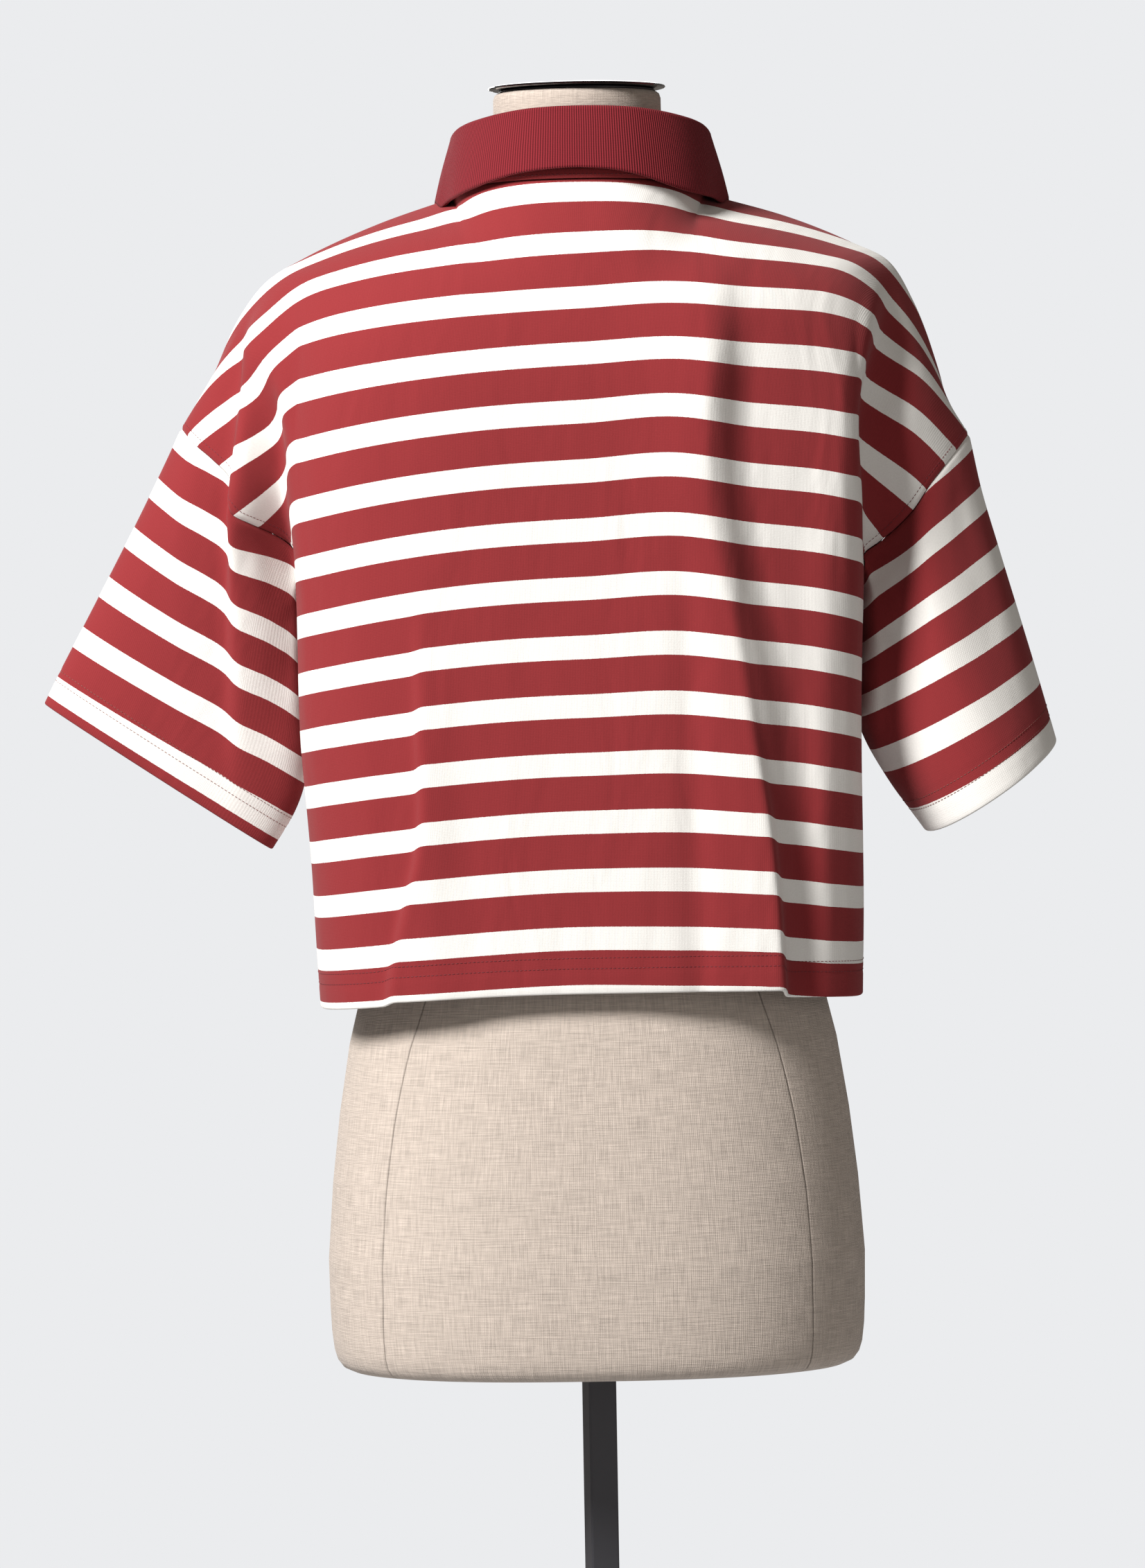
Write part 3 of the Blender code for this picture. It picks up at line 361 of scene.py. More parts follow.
frontSections = table(
    "level left right depth height dropLeft dropRight square",
    (-0.05, 190, 188, 40, 1567, 20, 20, 2.1), (0.00, 190, 188, 50, 1545, 24, 24, 2.1),
    (0.12, 189, 186, 76, 1492, 26, 26, 2.2), (0.20, 188, 184, 100, 1459, 34, 32, 2.4),
    (0.30, 186.5, 181, 120, 1412, 42, 38, 2.7), (0.38, 185, 179, 129, 1373, 42, 38, 3),
    (0.46, 184.5, 177.5, 131.5, 1333, 34, 31, 3.1), (0.64, 181, 175, 129.5, 1241, 25, 24, 3.2),
    (0.82, 176, 173.5, 127.5, 1149, 18, 17, 3.1), (1.00, 170, 171, 125, 1057, 11, 12, 3),
)
sideSeam = table("t across", (0.46, 0), (0.50, -8), (0.56, -12), (0.70, -11), (0.80, -6), (0.88, -3), (1.00, -3.5))
# Where the cloth leaves the body for the sleeve and the side seam, and how late it is there
armPull = table(
    "t corner late",
    (0.00, 0.66, 1.25), (0.08, 0.715, 1.25), (0.20, 0.745, 1.25), (0.30, 0.735, 1.5), (0.46, 0.68, 2.3),
    (1.00, 0.66, 2.6),
)
# Folds: where each starts and ends, half width, and how far it stands out, or sinks if less than 0
foldColumns = "fromAcross fromDown toAcross toDown wide height"
backFolds = table(
    foldColumns,
    (-0.24, 0.40, -0.29, 1.25, 12, -3), (0.40, 0.46, 0.41, 1.20, 22, 3), (-0.60, 0.44, -0.61, 1.25, 14, 3),
)
frontFolds = table(
    foldColumns,
    (0.72, 0.03, 0.99, 0.30, 17, 7), (-0.71, 0.03, -0.99, 0.30, 17, 6), (0.36, 0.30, 0.42, 1.25, 20, 6),
    (0.52, 0.40, 0.56, 1.25, 18, -5), (-0.40, 0.32, -0.44, 1.25, 19, 5), (-0.56, 0.42, -0.58, 1.25, 18, -5),
)


def crease(sign, line, shape):  # its axis and amount by height, and how it moves the cloth to either side of its axis
    return {"sign": sign, "line": table("height axis amount", *line), "shape": table("off across out down", *shape)}


bodyFold = (
    (-45, 0, 0, 0), (-22, 0, 1.5, 0.5), (-10, 1, 4, 1), (-3, 4, 5, 1), (1.5, 0.5, 1, -1.5), (5, -3, -3.5, -3.5),
    (8, -3.5, -4.5, -4), (13, -2.5, -4, -4), (28, 0, -1, -3), (60, 0, 0, 0),
)
# The sharp folds of the back, upright on the wearer's left (1) or right (-1)
creases = (
    crease(  # the left sleeve's: a crest that hangs over the cloth outside it
        1,
        (
            (1160, 216, 0), (1200, 216, 0.15), (1250, 215, 0.3), (1290, 215, 0.4), (1330, 214, 0.7),
            (1357, 213.5, 1), (1384, 210.5, 1), (1419, 207.5, 1), (1434, 206.5, 1), (1483, 198, 0.6), (1505, 194, 0),
        ),
        (
            (-35, 0, 0, 0), (-25, 0, 0, 0), (-14, 1, 2, -2), (-6, 4, 6, -6), (0, 6, 8, -8), (4, 4.5, 6, -7),
            (8, 0, 0, -5), (12, -4.5, -6, -3), (17, -6, -7, -1), (25, -4, -4, 0), (38, 0, 0, 0), (50, 0, 0, 0),
        ),
    ),
    crease(  # the left arm's: a wall beside the body and a valley
        1,
        (
            (1200, 188, 0), (1250, 188, 0.3), (1290, 188.5, 0.5), (1310, 190, 0.8), (1330, 192, 1), (1357, 194, 1),
            (1390, 194.5, 1), (1410, 197, 1), (1428, 200, 0.7), (1450, 204, 0.2), (1465, 206, 0),
        ),
        (
            (-32, 0, 0, 0), (-22, 0, 0, 0), (-12, 0.5, -1, 0), (-8, -2, -4, 0), (-3, -6.5, -9, -1),
            (2, -8.5, -12, -2), (8, -6, -9, -2), (14, -3, -4, -1), (22, 0, -1, 0), (32, 0, 0, 0), (42, 0, 0, 0),
        ),
    ),
    crease(  # the right arm's: a wall beside the body and a valley
        -1,
        (
            (1255, 184, 0), (1290, 184, 0.2), (1304, 184, 0.5), (1320, 184, 0.85), (1345, 184, 1),
            (1420, 184.5, 1), (1445, 190, 0.75), (1467, 195, 0.4), (1492, 200, 0),
        ),
        (
            (-30, 0, 0, 0), (-20, 0, 0, 0), (-13, 0.5, -3, 0), (-7, -4.5, -9, -1), (-1, -9, -13, -2),
            (5, -6, -12, -3), (12, -2.5, -8, -3), (20, 0, -4, -2), (32, 0, -1, 0), (45, 0, 0, 0),
        ),
    ),
    crease(  # the body's: the cloth nearer the side hangs behind and lower
        -1,
        (
            (1000, 119.5, 0.8), (1068, 117, 0.75), (1153, 111, 0.5), (1217, 100.5, 0.2), (1270, 94, 0.1),
            (1340, 89, 0), (1430, 84, 0),
        ),
        bodyFold,
    ),
    crease(  # the body's right edge, which is squarer than its section
        -1,
        ((1000, 158, 1), (1150, 160, 1), (1300, 162, 1), (1400, 163, 1), (1450, 165, 0.6), (1490, 168, 0)),
        (
            (-60, 0, 0, 0), (-42, 0, 0, 0), (-28, 0, 0.5, 0), (-18, 0, 2.2, 0), (-8, 0, 5, 0), (0, 0, 7.8, 0),
            (6, 0, 9.8, 0), (12, 0, 10.5, 0), (18, 0, 8, 0), (24, 0, 3, 0), (32, 0, 0, 0), (44, 0, 0, 0),
        ),
    ),
    crease(  # beside the body's fold the cloth steps back softly, from under the collar down
        -1,
        (
            (1000, 126, 0.7), (1070, 124, 0.8), (1140, 119, 0.9), (1200, 112, 0.9), (1250, 105, 0.9),
            (1310, 92, 1), (1365, 85, 1), (1440, 88, 0.8), (1480, 88, 0.3), (1505, 88, 0),
        ),
        (
            (-80, 0, 0, 0), (-60, 0, 0.6, 0), (-35, 0, 3.2, 0), (-18, 0, 5.6, 0), (-8, 0, 5.8, 0),
            (0, 0, 1.8, 0), (8, 0, -4.6, 0), (15, 0, -7.4, 0), (25, 0, -7.8, 0), (45, 0, -6.2, 0),
            (70, 0, -2.8, 0), (90, 0, 0, 0), (110, 0, 0, 0),
        ),
    ),
    crease(  # a fainter fold of the body on the left
        1,
        (
            (1000, 128, 0.3), (1065, 123, 0.4), (1097, 116, 0.4), (1137, 106, 0.45), (1215, 104, 0.4), (1300, 103, 0),
        ),
        bodyFold,
    ),
)
# How far the stripes hang above the level that the cloth's form gives them, across the back at six places
sagPlaces = np.array([-0.62, -0.42, -0.22, 0.0, 0.30, 0.62])
sag = table(
    "t a b c d e f",
    (0.00, 4, 3, 0, 0, 2.5, 1), (0.08, 9, 4.5, 5.5, 2, 1.5, 2), (0.20, 5, 4.2, 6.8, 4.2, 2.2, 2.8),
    (0.30, 1.5, 1.8, 7, 3.6, 2.2, 2), (0.42, -1.5, -1.5, 4, 1, -0.6, -1.4), (0.60, -2.6, -1.5, 2.8, 1, 0, -1.5),
    (0.80, -3.8, -1.5, 1, 0.8, -0.3, -1), (1.00, -6, -2.5, -1.5, 0, -1, -1),
)
sagNeck = {"rise": 5.0, "at": 0.31, "across": 0.045, "down": 0.08}  # more beside the neck


def sagOf(half, s, t):  # how far they hang above it at one place
    knots = [smooth(sag, key, t) for key in "abcdef"]
    if half == -1:  # the front meets the back at the side seams only
        return np.interp(s, (-0.9, 0.0, 0.9), (knots[0], 0.0, knots[-1]))
    rows = {"place": sagPlaces, "rise": np.array(knots)}
    across = np.exp(-(((np.abs(s) - sagNeck["at"]) / sagNeck["across"]) ** 2))
    return smooth(rows, "rise", s) + sagNeck["rise"] * across * math.exp(-((t / sagNeck["down"]) ** 2))


creasesBegin = (-5, 30)  # the depth where the sharp folds begin, and how much further back they have their full size


def creased(sheet):  # the sharp folds move the cloth by where it is, so panels and sleeves still meet at their seams
    moved = sheet.copy()
    behind = ease(sheet[..., 1], *creasesBegin)
    behind = behind * behind * (3 - 2 * behind)
    for sharp in creases:
        sign, line, shape = sharp["sign"], sharp["line"], sharp["shape"]
        off = sheet[..., 0] * sign - smooth(line, "axis", sheet[..., 2])
        amount = smooth(line, "amount", sheet[..., 2]) * behind
        for axis, column, way in ((0, "across", sign), (1, "out", 1), (2, "down", 1)):
            moved[..., axis] += way * amount * smooth(shape, column, off)
    return moved


def halfSection(across, depth, square, parts):  # quarters of squared ellipses, at shares of their length
    turn = np.linspace(0, math.pi / 2, 240)
    power = (2 / square)[:, None]
    x = across[:, None] * np.sin(turn) ** power
    y = depth[:, None] * np.cos(turn) ** power
    run = np.concatenate([np.zeros((len(x), 1)), np.cumsum(np.hypot(np.diff(x), np.diff(y)), axis=1)], axis=1)
    at = (parts * run[:, -1])[:, None]
    i = np.clip((run < at).sum(axis=1) - 1, 0, len(turn) - 2)
    row = np.arange(len(x))
    f = (at[:, 0] - run[row, i]) / (run[row, i + 1] - run[row, i])
    return x[row, i] * (1 - f) + x[row, i + 1] * f, y[row, i] * (1 - f) + y[row, i + 1] * f


def edgeLevel(half, s):  # pattern level of the neck and shoulder edge, mm down from the back neck
    s = np.abs(s)
    tip, neckWidth, neckS = shirt["shoulderTip"], shirt["neckWidth"], shirt["neckS"]
    seam = (s * tip - neckWidth) * shirt["shoulderSlope"] - shirt["neckRise"]
    ends = (neckS * tip - neckWidth) * shirt["shoulderSlope"] - shirt["neckRise"]
    part = ease(s, 0, neckS)
    if half == 1:
        neck = ends * part**2.4
    else:
        neck = ends + (shirt["frontNeckDown"] - ends) * np.sqrt(1 - part**2)
    return np.where(s < neckS, neck, seam)


def patternLevel(half, s, t):
    top, underarm, underT = edgeLevel(half, s), shirt["underarmDown"], shirt["underarmT"]
    upper = top + (underarm - top) * t / underT
    lower = underarm + (shirt["bodyLength"] - underarm) * (t - underT) / (1 - underT)
    return np.where(t < underT, upper, lower)


def ringPoints(tip, under, back, front, square, at):  # a sleeve's section: 0 outermost, 1 underarm by the back
    tip, under = np.array(tip, float), np.array(under, float)
    turn = np.linspace(0, math.pi, 241)
    points = np.zeros((len(at), 3))
    for half, deep in ((1, back), (-1, front)):
        outward = np.copysign(np.abs(np.cos(turn)) ** (2 / square), np.cos(turn))
        line = (tip + under) / 2 + outward[:, None] * (tip - under) / 2
        line[:, 1] += half * deep * np.sin(turn) ** (2 / square)
        run = runLengths(line)
        here = (at * half) >= 0
        points[here] = along(np.abs(at[here]) * run[-1], run, line)
    return points


def ringPlace(side, half, part):  # where on the sleeve's section a part of a panel's armhole lies
    part = np.atleast_1d(np.asarray(part, float))
    ahead = sides[side]["seamAhead"]
    edge = shirt["underarmDown"] - float(edgeLevel(half, 1.0))
    seam = ahead / (edge + ahead)
    if half == -1:
        return -(seam + part * (1 - seam))
    first = ahead / edge
    return np.where(part < first, -seam * (1 - part / first), (part - first) / (1 - first))


def armhole(side, half, part):
    return ringPoints(at=ringPlace(side, half, part), **sides[side]["armhole"])[0]


for side in sides:  # the shoulder lines end where the sleeves' sections begin
    for key, value in zip(("across", "depth", "height"), armhole(side, 1, 0.0)):
        sides[side]["shoulder"][key][-1] = value


def topEdge(side, half, s):  # the neck seam, then the shoulder seam
    neckS = shirt["neckS"]
    q = 0.5 * np.minimum(s, neckS) / neckS
    q = q if half == 1 else 1 - q
    return np.where((s <= neckS)[:, None], curve(neckRing, q), curve(sides[side]["shoulder"], s))


def wornBody(side, half, s, t, around=None):  # the worn body before the sleeves pull it
    sections = backSections if half == 1 else frontSections
    level = patternLevel(half, s, t) / shirt["bodyLength"]
    wide = smooth(sections, side, level)
    parts = s if around is None else around
    x, y = halfSection(wide, smooth(sections, "depth", level), smooth(sections, "square", level), parts)
    drop = smooth(sections, "dropLeft" if side == "left" else "dropRight", level)
    z = smooth(sections, "height", level) - drop * (x / wide) ** sides[side]["dropPower"]
    return np.stack([x, half * y, z], -1)


def roundTo(side, half, s, t, edge, corner):  # how far round each point lies, so that the row ends level with its edge
    places = np.linspace(corner, 1, 60)
    depth = half * wornBody(side, half, places, t)[:, 1]
    last = max(np.interp(-half * edge[1], -depth, places), corner + 0.08)
    return np.where(s < corner, s, corner + (s - corner) / (1 - corner) * (last - corner))


def sideLine(side, half, t):  # the armhole seam down to the underarm, then the side seam
    underT = shirt["underarmT"]
    if t < underT:
        return armhole(side, half, t / underT)
    under = np.array(sides[side]["armhole"]["under"], float)
    down = (t - underT) / (1 - underT)
    return under + np.array([smooth(sideSeam, "across", t), 0.0, (hemSide[side] - under[2]) * down])


def foldLift(folds, across, down, width, power):  # how far the folds lift the cloth; across is 1 at this width
    lift = 0.0
    for fromAcross, fromDown, toAcross, toDown, wide, height in zip(*folds.values()):
        part = ease(down, fromDown, toDown - fromDown)
        off = (across - fromAcross - (toAcross - fromAcross) * part) * width
        lift = lift + height * np.exp(-((off / wide) ** 2)) * np.sin(math.pi * part) ** power
    return lift


def panelSheet(half, sList, tList, folds):
    rows = []
    for t in tList:
        row = []
        fade = max(0.0, 1 - t / topBlend[half]) ** 2
        corner, late = smooth(armPull, "corner", t), smooth(armPull, "late", t)
        for side, part in (("right", sList[sList < 0]), ("left", sList[sList >= 0])):
            s = np.append(np.abs(part), 1.0)
            edge = sideLine(side, half, t)
            around = roundTo(side, half, s, t, edge, corner)
            sheet = wornBody(side, half, s, t, around)
            if fade:
                sheet += (topEdge(side, half, s) - wornBody(side, half, s, 0.0, around)) * fade
            pull = ease(s, corner, 1 - corner) ** late
            sheet += pull[:, None] * (edge - sheet[-1])
            sheet[:, 0] *= sides[side]["sign"]
            row.append(sheet[:-1])
        rows.append(np.concatenate(row))
    sheet = np.array(rows)
    lift = foldLift(folds, sList, tList[:, None], shirt["shoulderTip"], 0.8)
    sheet[..., 1] += half * lift * np.clip((1 - np.abs(sList)) / 0.05, 0, 1)
    return creased(sheet)


def gridNormals(sheet, toward):  # unit normals, on the side that the given directions show
    normal = unit(np.cross(np.gradient(sheet, axis=1), np.gradient(sheet, axis=0)))
    return normal * np.sign((normal * toward).sum())


def tubeNormals(sheet):
    around = np.roll(sheet, -1, axis=1) - np.roll(sheet, 1, axis=1)
    normal = unit(np.cross(np.gradient(sheet, axis=0), around))
    middle = sheet.mean(axis=1, keepdims=True)
    return normal * np.sign(((sheet - middle) * normal).sum(axis=-1).mean())


def blurred(grid, passes, wrap=False):  # evens out a grid of values along both directions
    for _ in range(passes):
        for axis in (0, 1):
            ahead, behind = np.roll(grid, -1, axis), np.roll(grid, 1, axis)
            if axis == 0 or not wrap:
                first, last = [slice(None)] * grid.ndim, [slice(None)] * grid.ndim
                first[axis], last[axis] = 0, -1
                behind[tuple(first)] = grid[tuple(first)]
                ahead[tuple(last)] = grid[tuple(last)]
            grid = (ahead + 2 * grid + behind) / 4
    return grid


# The sleeves: outer and inner line in the back view, and the tube's depth behind and before, from armhole to hem
sleeveSections = {
    "left": table(
        "k outerX outerZ innerX innerZ back front square",
        (0.00, 252.5, 1403, 171, 1304, 42, 60, 1.65), (0.04, 255.5, 1396.5, 174, 1297.5, 41, 59, 1.7),
        (0.14, 264, 1379, 176, 1279, 38.5, 56, 1.85), (0.30, 277.5, 1352, 176.5, 1253, 35, 51, 2.1),
        (0.50, 295.5, 1318, 175.5, 1221, 31, 43, 2.2), (0.72, 316, 1280, 177, 1184, 27, 34, 2.2),
        (0.88, 331, 1252.5, 186, 1159, 25, 27, 2.2), (1.00, 341.2, 1232.6, 199, 1138.5, 23, 25, 2.2),
    ),
    "right": table(
        "k outerX outerZ innerX innerZ back front square",
        (0.00, 243, 1391, 169, 1302, 38, 60, 1.65), (0.04, 244.6, 1383, 171, 1296.5, 39, 61, 1.7),
        (0.16, 249.5, 1359, 171.5, 1277, 42, 64, 1.85), (0.36, 260, 1321, 170, 1247, 47, 70, 2),
        (0.60, 273, 1276, 170, 1211, 53, 71, 2), (0.82, 285, 1234, 187.5, 1176, 57.5, 71.5, 2),
        (1.00, 294.5, 1199, 210, 1144, 60, 72, 2),
    ),
}
# Folds of the sleeves: place round the tube (0 outside, 0.5 behind, 1 under the arm, -0.5 before)
sleeveFolds = {
    "left": table(foldColumns, (-0.60, -0.30, -0.52, 1.30, 15, 4)),
    "right": table(
        foldColumns,
        (0.55, -0.40, 0.46, 0.90, 17, 2.5), (0.25, -0.30, 0.30, 1.20, 19, -2),
        (-0.55, -0.40, -0.50, 1.10, 17, 4),
    ),
}


def sleeveSheet(side, kList, parts):  # one row for each k, and a closed round of columns: back, underarm, front, top
    rows = sleeveSections[side]
    at = np.concatenate([ringPlace(side, 1, parts), ringPlace(side, -1, parts)[-2:0:-1]])
    turn = np.copysign(np.clip(np.abs(at), 0, 1), at) * math.pi
    start, end = sides[side]["armhole"]["tip"][1], sides[side]["armhole"]["under"][1]
    sheet = []
    for k in kList:
        outer = (smooth(rows, "outerX", k), start, smooth(rows, "outerZ", k))
        inner = (smooth(rows, "innerX", k), end, smooth(rows, "innerZ", k))
        ring = ringPoints(outer, inner, *(smooth(rows, key, k) for key in ("back", "front", "square")), at)
        ring[:, 2] -= sides[side]["dip"] * k * np.sin(turn)
        sheet.append(ring)
    sheet = np.array(sheet)
    k = np.asarray(kList)[:, None]
    lift = foldLift(sleeveFolds[side], at, k, shirt["sleeveHalfRound"], 1) * ease(k, 0, 0.12)
    sheet = sheet + tubeNormals(sheet) * lift[..., None]
    sheet[..., 0] *= sides[side]["sign"]
    sheet = creased(sheet)
    return sheet, tubeNormals(sheet), at


# Stitches: short threads laid along a path by Geometry Nodes
stitch = {"pitch": 2.6, "long": 2.0, "radius": 0.22, "rise": 0.10, "pull": 0.30, "armholePull": 0.2, "pullWide": 1.1}


def newTree(name, inputs):  # a tree of Geometry Nodes with named inputs
    tree = bpy.data.node_groups.new(name, "GeometryNodeTree")
    for key, kind in inputs.items():
        tree.interface.new_socket(key, in_out="INPUT", socket_type="NodeSocket" + kind)
    tree.interface.new_socket("Geometry", in_out="OUTPUT", socket_type="NodeSocketGeometry")
    return tree, addNode(tree, "NodeGroupInput").outputs


def finishTree(tree, shape, material):  # the tree gives the shape as one real mesh of the material
    real = addNode(tree, "GeometryNodeRealizeInstances", {0: shape})
    finished = addNode(tree, "GeometryNodeSetMaterial", {"Geometry": real, "Material": material})
    addNode(tree, "NodeGroupOutput", {"Geometry": finished})
    return tree


def stitchTree():
    sockets = {"Path": "Geometry", "Pitch": "Float", "Length": "Float", "Radius": "Float", "Thread": "Material"}
    tree, given = newTree("stitch row", sockets)
    line = addNode(tree, "GeometryNodeMeshToCurve", {"Mesh": given["Path"]})
    spaced = {"Curve": line, "Length": given["Pitch"]}
    points = addNode(tree, "GeometryNodeCurveToPoints", spaced, mode="LENGTH")
    one = addNode(tree, "GeometryNodeMeshUVSphere", {"Segments": 6, "Rings": 4, "Radius": 1.0})
    half = addNode(tree, "ShaderNodeMath", {0: given["Length"], 1: 0.5}, operation="MULTIPLY")
    size = addNode(tree, "ShaderNodeCombineXYZ", {"X": given["Radius"], "Y": given["Radius"], "Z": half})
    places = {"Points": points, "Instance": one, "Rotation": points.outputs["Rotation"], "Scale": size}
    laid = addNode(tree, "GeometryNodeInstanceOnPoints", places)
    return finishTree(tree, laid, given["Thread"])


def applied(thing, tree, name, values):  # runs a tree on an object with the given inputs, and keeps a plain mesh
    modifier = thing.modifiers.new(tree.name, "NODES")
    modifier.node_group = tree
    sockets = {item.name: item.identifier for item in tree.interface.items_tree if item.in_out == "INPUT"}
    for key, value in values.items():
        modifier[sockets[key]] = value
    bpy.context.view_layer.update()
    mesh = bpy.data.meshes.new_from_object(thing.evaluated_get(bpy.context.evaluated_depsgraph_get()))
    mesh.name = name
    thing.modifiers.clear()
    bpy.data.objects.remove(thing)
    mesh.shade_smooth()
    return placed(name, mesh)


rowsOfStitches = stitchTree()


def stitchRows(name, paths, thread, **sizes):  # paths are lists of points in mm; sizes differ from those above
    points, edges = [], []
    for path in paths:
        start = len(points)
        points += (np.asarray(path) * mm).tolist()
        edges += [(start + i, start + i + 1) for i in range(len(path) - 1)]
    mesh = bpy.data.meshes.new(name)
    mesh.from_pydata(points, edges, [])
    size = {**stitch, **sizes}
    values = {"Pitch": size["pitch"] * mm, "Length": size["long"] * mm, "Radius": size["radius"] * mm, "Thread": thread}
    return applied(placed(name + "_line", mesh), rowsOfStitches, name, values)


# The panels and sleeves, finely divided, with their folds, hems and seams
nearEdge = np.array([0.0, 0.4, 0.9, 1.6, 2.5, 3.6, 5.0, 6.6])  # mm from a seam, where the cloth turns in
pastEdge = 8.5  # mm from a seam, where the even spacing begins


def fineNear(span, count):  # parts of a span in mm, closer together near its start
    return np.unique(np.concatenate([nearEdge / span, np.linspace(pastEdge / span, 1, count)]))


neckS, underT, tip = shirt["neckS"], shirt["underarmT"], shirt["shoulderTip"]
outerColumns = [np.linspace(neckS, 1 - pastEdge / tip, 78), 1 - nearEdge / tip]
halfColumns = np.unique(np.concatenate([np.linspace(0, neckS, 27), *outerColumns]))
sList = np.concatenate([-halfColumns[:0:-1], halfColumns])
upperPart = fineNear(shirt["underarmDown"], 78)
tList = np.concatenate([upperPart * underT, np.linspace(underT, 1, 92)[1:]])
kList = fineNear(190, 66)  # a sleeve is about 190 mm long


def tuck(distance):  # how far the cloth turns in, so far from a seam
    return shirt["seamTuck"] * np.exp(-((distance / shirt["tuckWide"]) ** 2))


def crimp(distance, deep=stitch["pull"]):  # the small hollow that a row of stitches pulls into the cloth
    return deep * np.exp(-((distance / stitch["pullWide"]) ** 2))


def drawnIn(sheet, normal, sink, rows):  # the cloth sunk by these depths, and by rows of stitches along its hem
    fromHem = away(sheet, 0, fromEnd=True)
    for row in rows:
        sink = sink + crimp(fromHem - row)
    return sheet - normal * sink[..., None]


red = threadMaterial("burgundy_polyester_thread", "722A31")
dusky = threadMaterial("dusky_rose_polyester_thread", "7E4B46")
bodyJersey = jerseyMaterial("striped_cotton_jersey_knitted", jersey["firstCream"])
plainJersey = jerseyMaterial("burgundy_cotton_jersey_knitted", 0.0, striped=False)
ribKnit = ribMaterial("burgundy_cotton_rib_knitted")

hemRows = (14.5, 21.0)  # mm from the body's hem fold to its two rows of stitches
sleeveHemRows = (15.5, 22.0)
armholeRow = 5.0
panels = {}
for half, name, folds in ((1, "back_panel", backFolds), (-1, "front_panel", frontFolds)):
    sheet = panelSheet(half, sList, tList, folds)
    toward = np.zeros_like(sheet)
    toward[..., 1] = half
    normal = unit(blurred(gridNormals(sheet, toward), 2))
    fromSide = np.minimum(away(sheet, 1, fromEnd=True), away(sheet, 1))
    sink = tuck(fromSide) + tuck(away(sheet, 0))
    sink = sink + crimp(fromSide - armholeRow, stitch["armholePull"]) * (tList < underT)[:, None]
    shown = drawnIn(sheet, normal, sink, hemRows)
    flatS, flatT = np.meshgrid(sList, tList)
    flat = np.stack([flatS * tip, patternLevel(half, flatS, flatT)], -1)
    flat[..., 1] += np.array([sagOf(half, sList, t) for t in tList])
    full, flat = turnHem(shown, normal, flat, shirt["bodyHem"], 1)
    holes = None
    if half == -1:
        middle = np.abs((sList[1:] + sList[:-1]) / 2)
        holes = np.zeros((len(full) - 1, len(sList) - 1), bool)
        holes[: len(tList) - 1] = (tList[:-1, None] < shirt["slitDown"]) & (middle[None] < shirt["slitHalf"])
    thing = gridObject(name + "_cloth", full, normal, flat, bodyJersey, jersey["wall"], holes=holes)
    panels[half] = {"thing": thing, "sheet": shown, "normal": normal, "bare": sheet}
print("panels")

sleeves = {}
for side in sides:
    sheet, normal, at = sleeveSheet(side, kList, upperPart)
    normal = unit(blurred(normal, 2, wrap=True))
    shown = drawnIn(sheet, normal, tuck(away(sheet, 0)), sleeveHemRows)
    cap = (1 + np.cos(math.pi * np.append(at, at[0]))) / 2
    long = shirt["sleeveInner"] + (shirt["sleeveLong"][side] - shirt["sleeveInner"]) * cap
    around = runLengths(np.append(sheet[0], sheet[:1, 0], axis=0))
    flat = np.stack([np.tile(around, (len(kList), 1)), (1 - kList)[:, None] * long[None]], -1)
    full, flat = turnHem(shown, normal, flat, shirt["sleeveHem"], -1)
    cloth = jerseyMaterial("striped_cotton_jersey_sleeve_" + side, jersey["sleeveCream"][side])
    thing = gridObject("sleeve_" + side + "_cloth", full, normal, flat, cloth, jersey["wall"], wrap=True)
    sleeves[side] = {"thing": thing, "sheet": shown, "normal": normal}
print("sleeves")

# The collar along the neck seam, from centre back (0) to centre front (1)
collar = {
    "rows": table(
        "q stand lean reach edge",
        (-0.15, 43.8, -4, 8, 3.8), (0.00, 44.6, -3.5, 8.5, 6.1), (0.15, 43.8, -4, 8, 3.8),
        (0.30, 41.2, -4.3, 8, -3.4), (0.36, 40.5, -3.7, 7.5, -5.5), (0.42, 39.8, -3, 7.5, -7),
        (0.47, 39.1, -2.3, 10.5, -11), (0.50, 38.6, -1.5, 11.5, -15), (0.62, 36, -3, 14, -60),
        (0.76, 32.5, -2, 25, -90), (0.90, 31, -2, 32, -90), (1.00, 30, -2, 35, -90),
    ),
    "wall": 2.0,
    "end": 0.984,
    "spread": 0.075,  # how far its points spread apart, along the neck seam
    "hangs": 0.7,  # how far the fall's edge stays off the cloth: behind, over the front and over the placket
    "onCloth": 3.0,
    "onPlacket": 4.6,
    "cloth": (0.45, 0.15),  # where along the neck seam it comes to lie over the front and the placket
    "placket": (0.6, 0.2),
    "bulge": (0.4, 9.0),  # how far the fall bows out behind, and how much more toward its points
    "foot": 0.8,
    "lean": -2.0,
    "foldRadius": 3.0,
    "rightDip": (5.0, 0.24, 0.13),  # how much lower the fall's edge is on the right, where, and how widely
}
up = np.array([0, 0, 1.0])


def neckPlace(q):  # points of the neck seam, and the level direction that leads outward there
    step = 0.004
    run = curve(neckRing, np.clip(q + step, 0, 1)) - curve(neckRing, np.clip(q - step, 0, 1))
    return curve(neckRing, q), unit(np.stack([-run[:, 1], run[:, 0], np.zeros(len(q))], -1))


def clothUnder(sheets):  # the bare cloth as a tree of faces that a ray can hit
    points, faces = [], []
    for sheet in sheets:
        faces += (gridCells(*sheet.shape[:2])[0] + len(points)).tolist()
        points += sheet.reshape(-1, 3).tolist()
    return BVHTree.FromPolygons(points, faces)


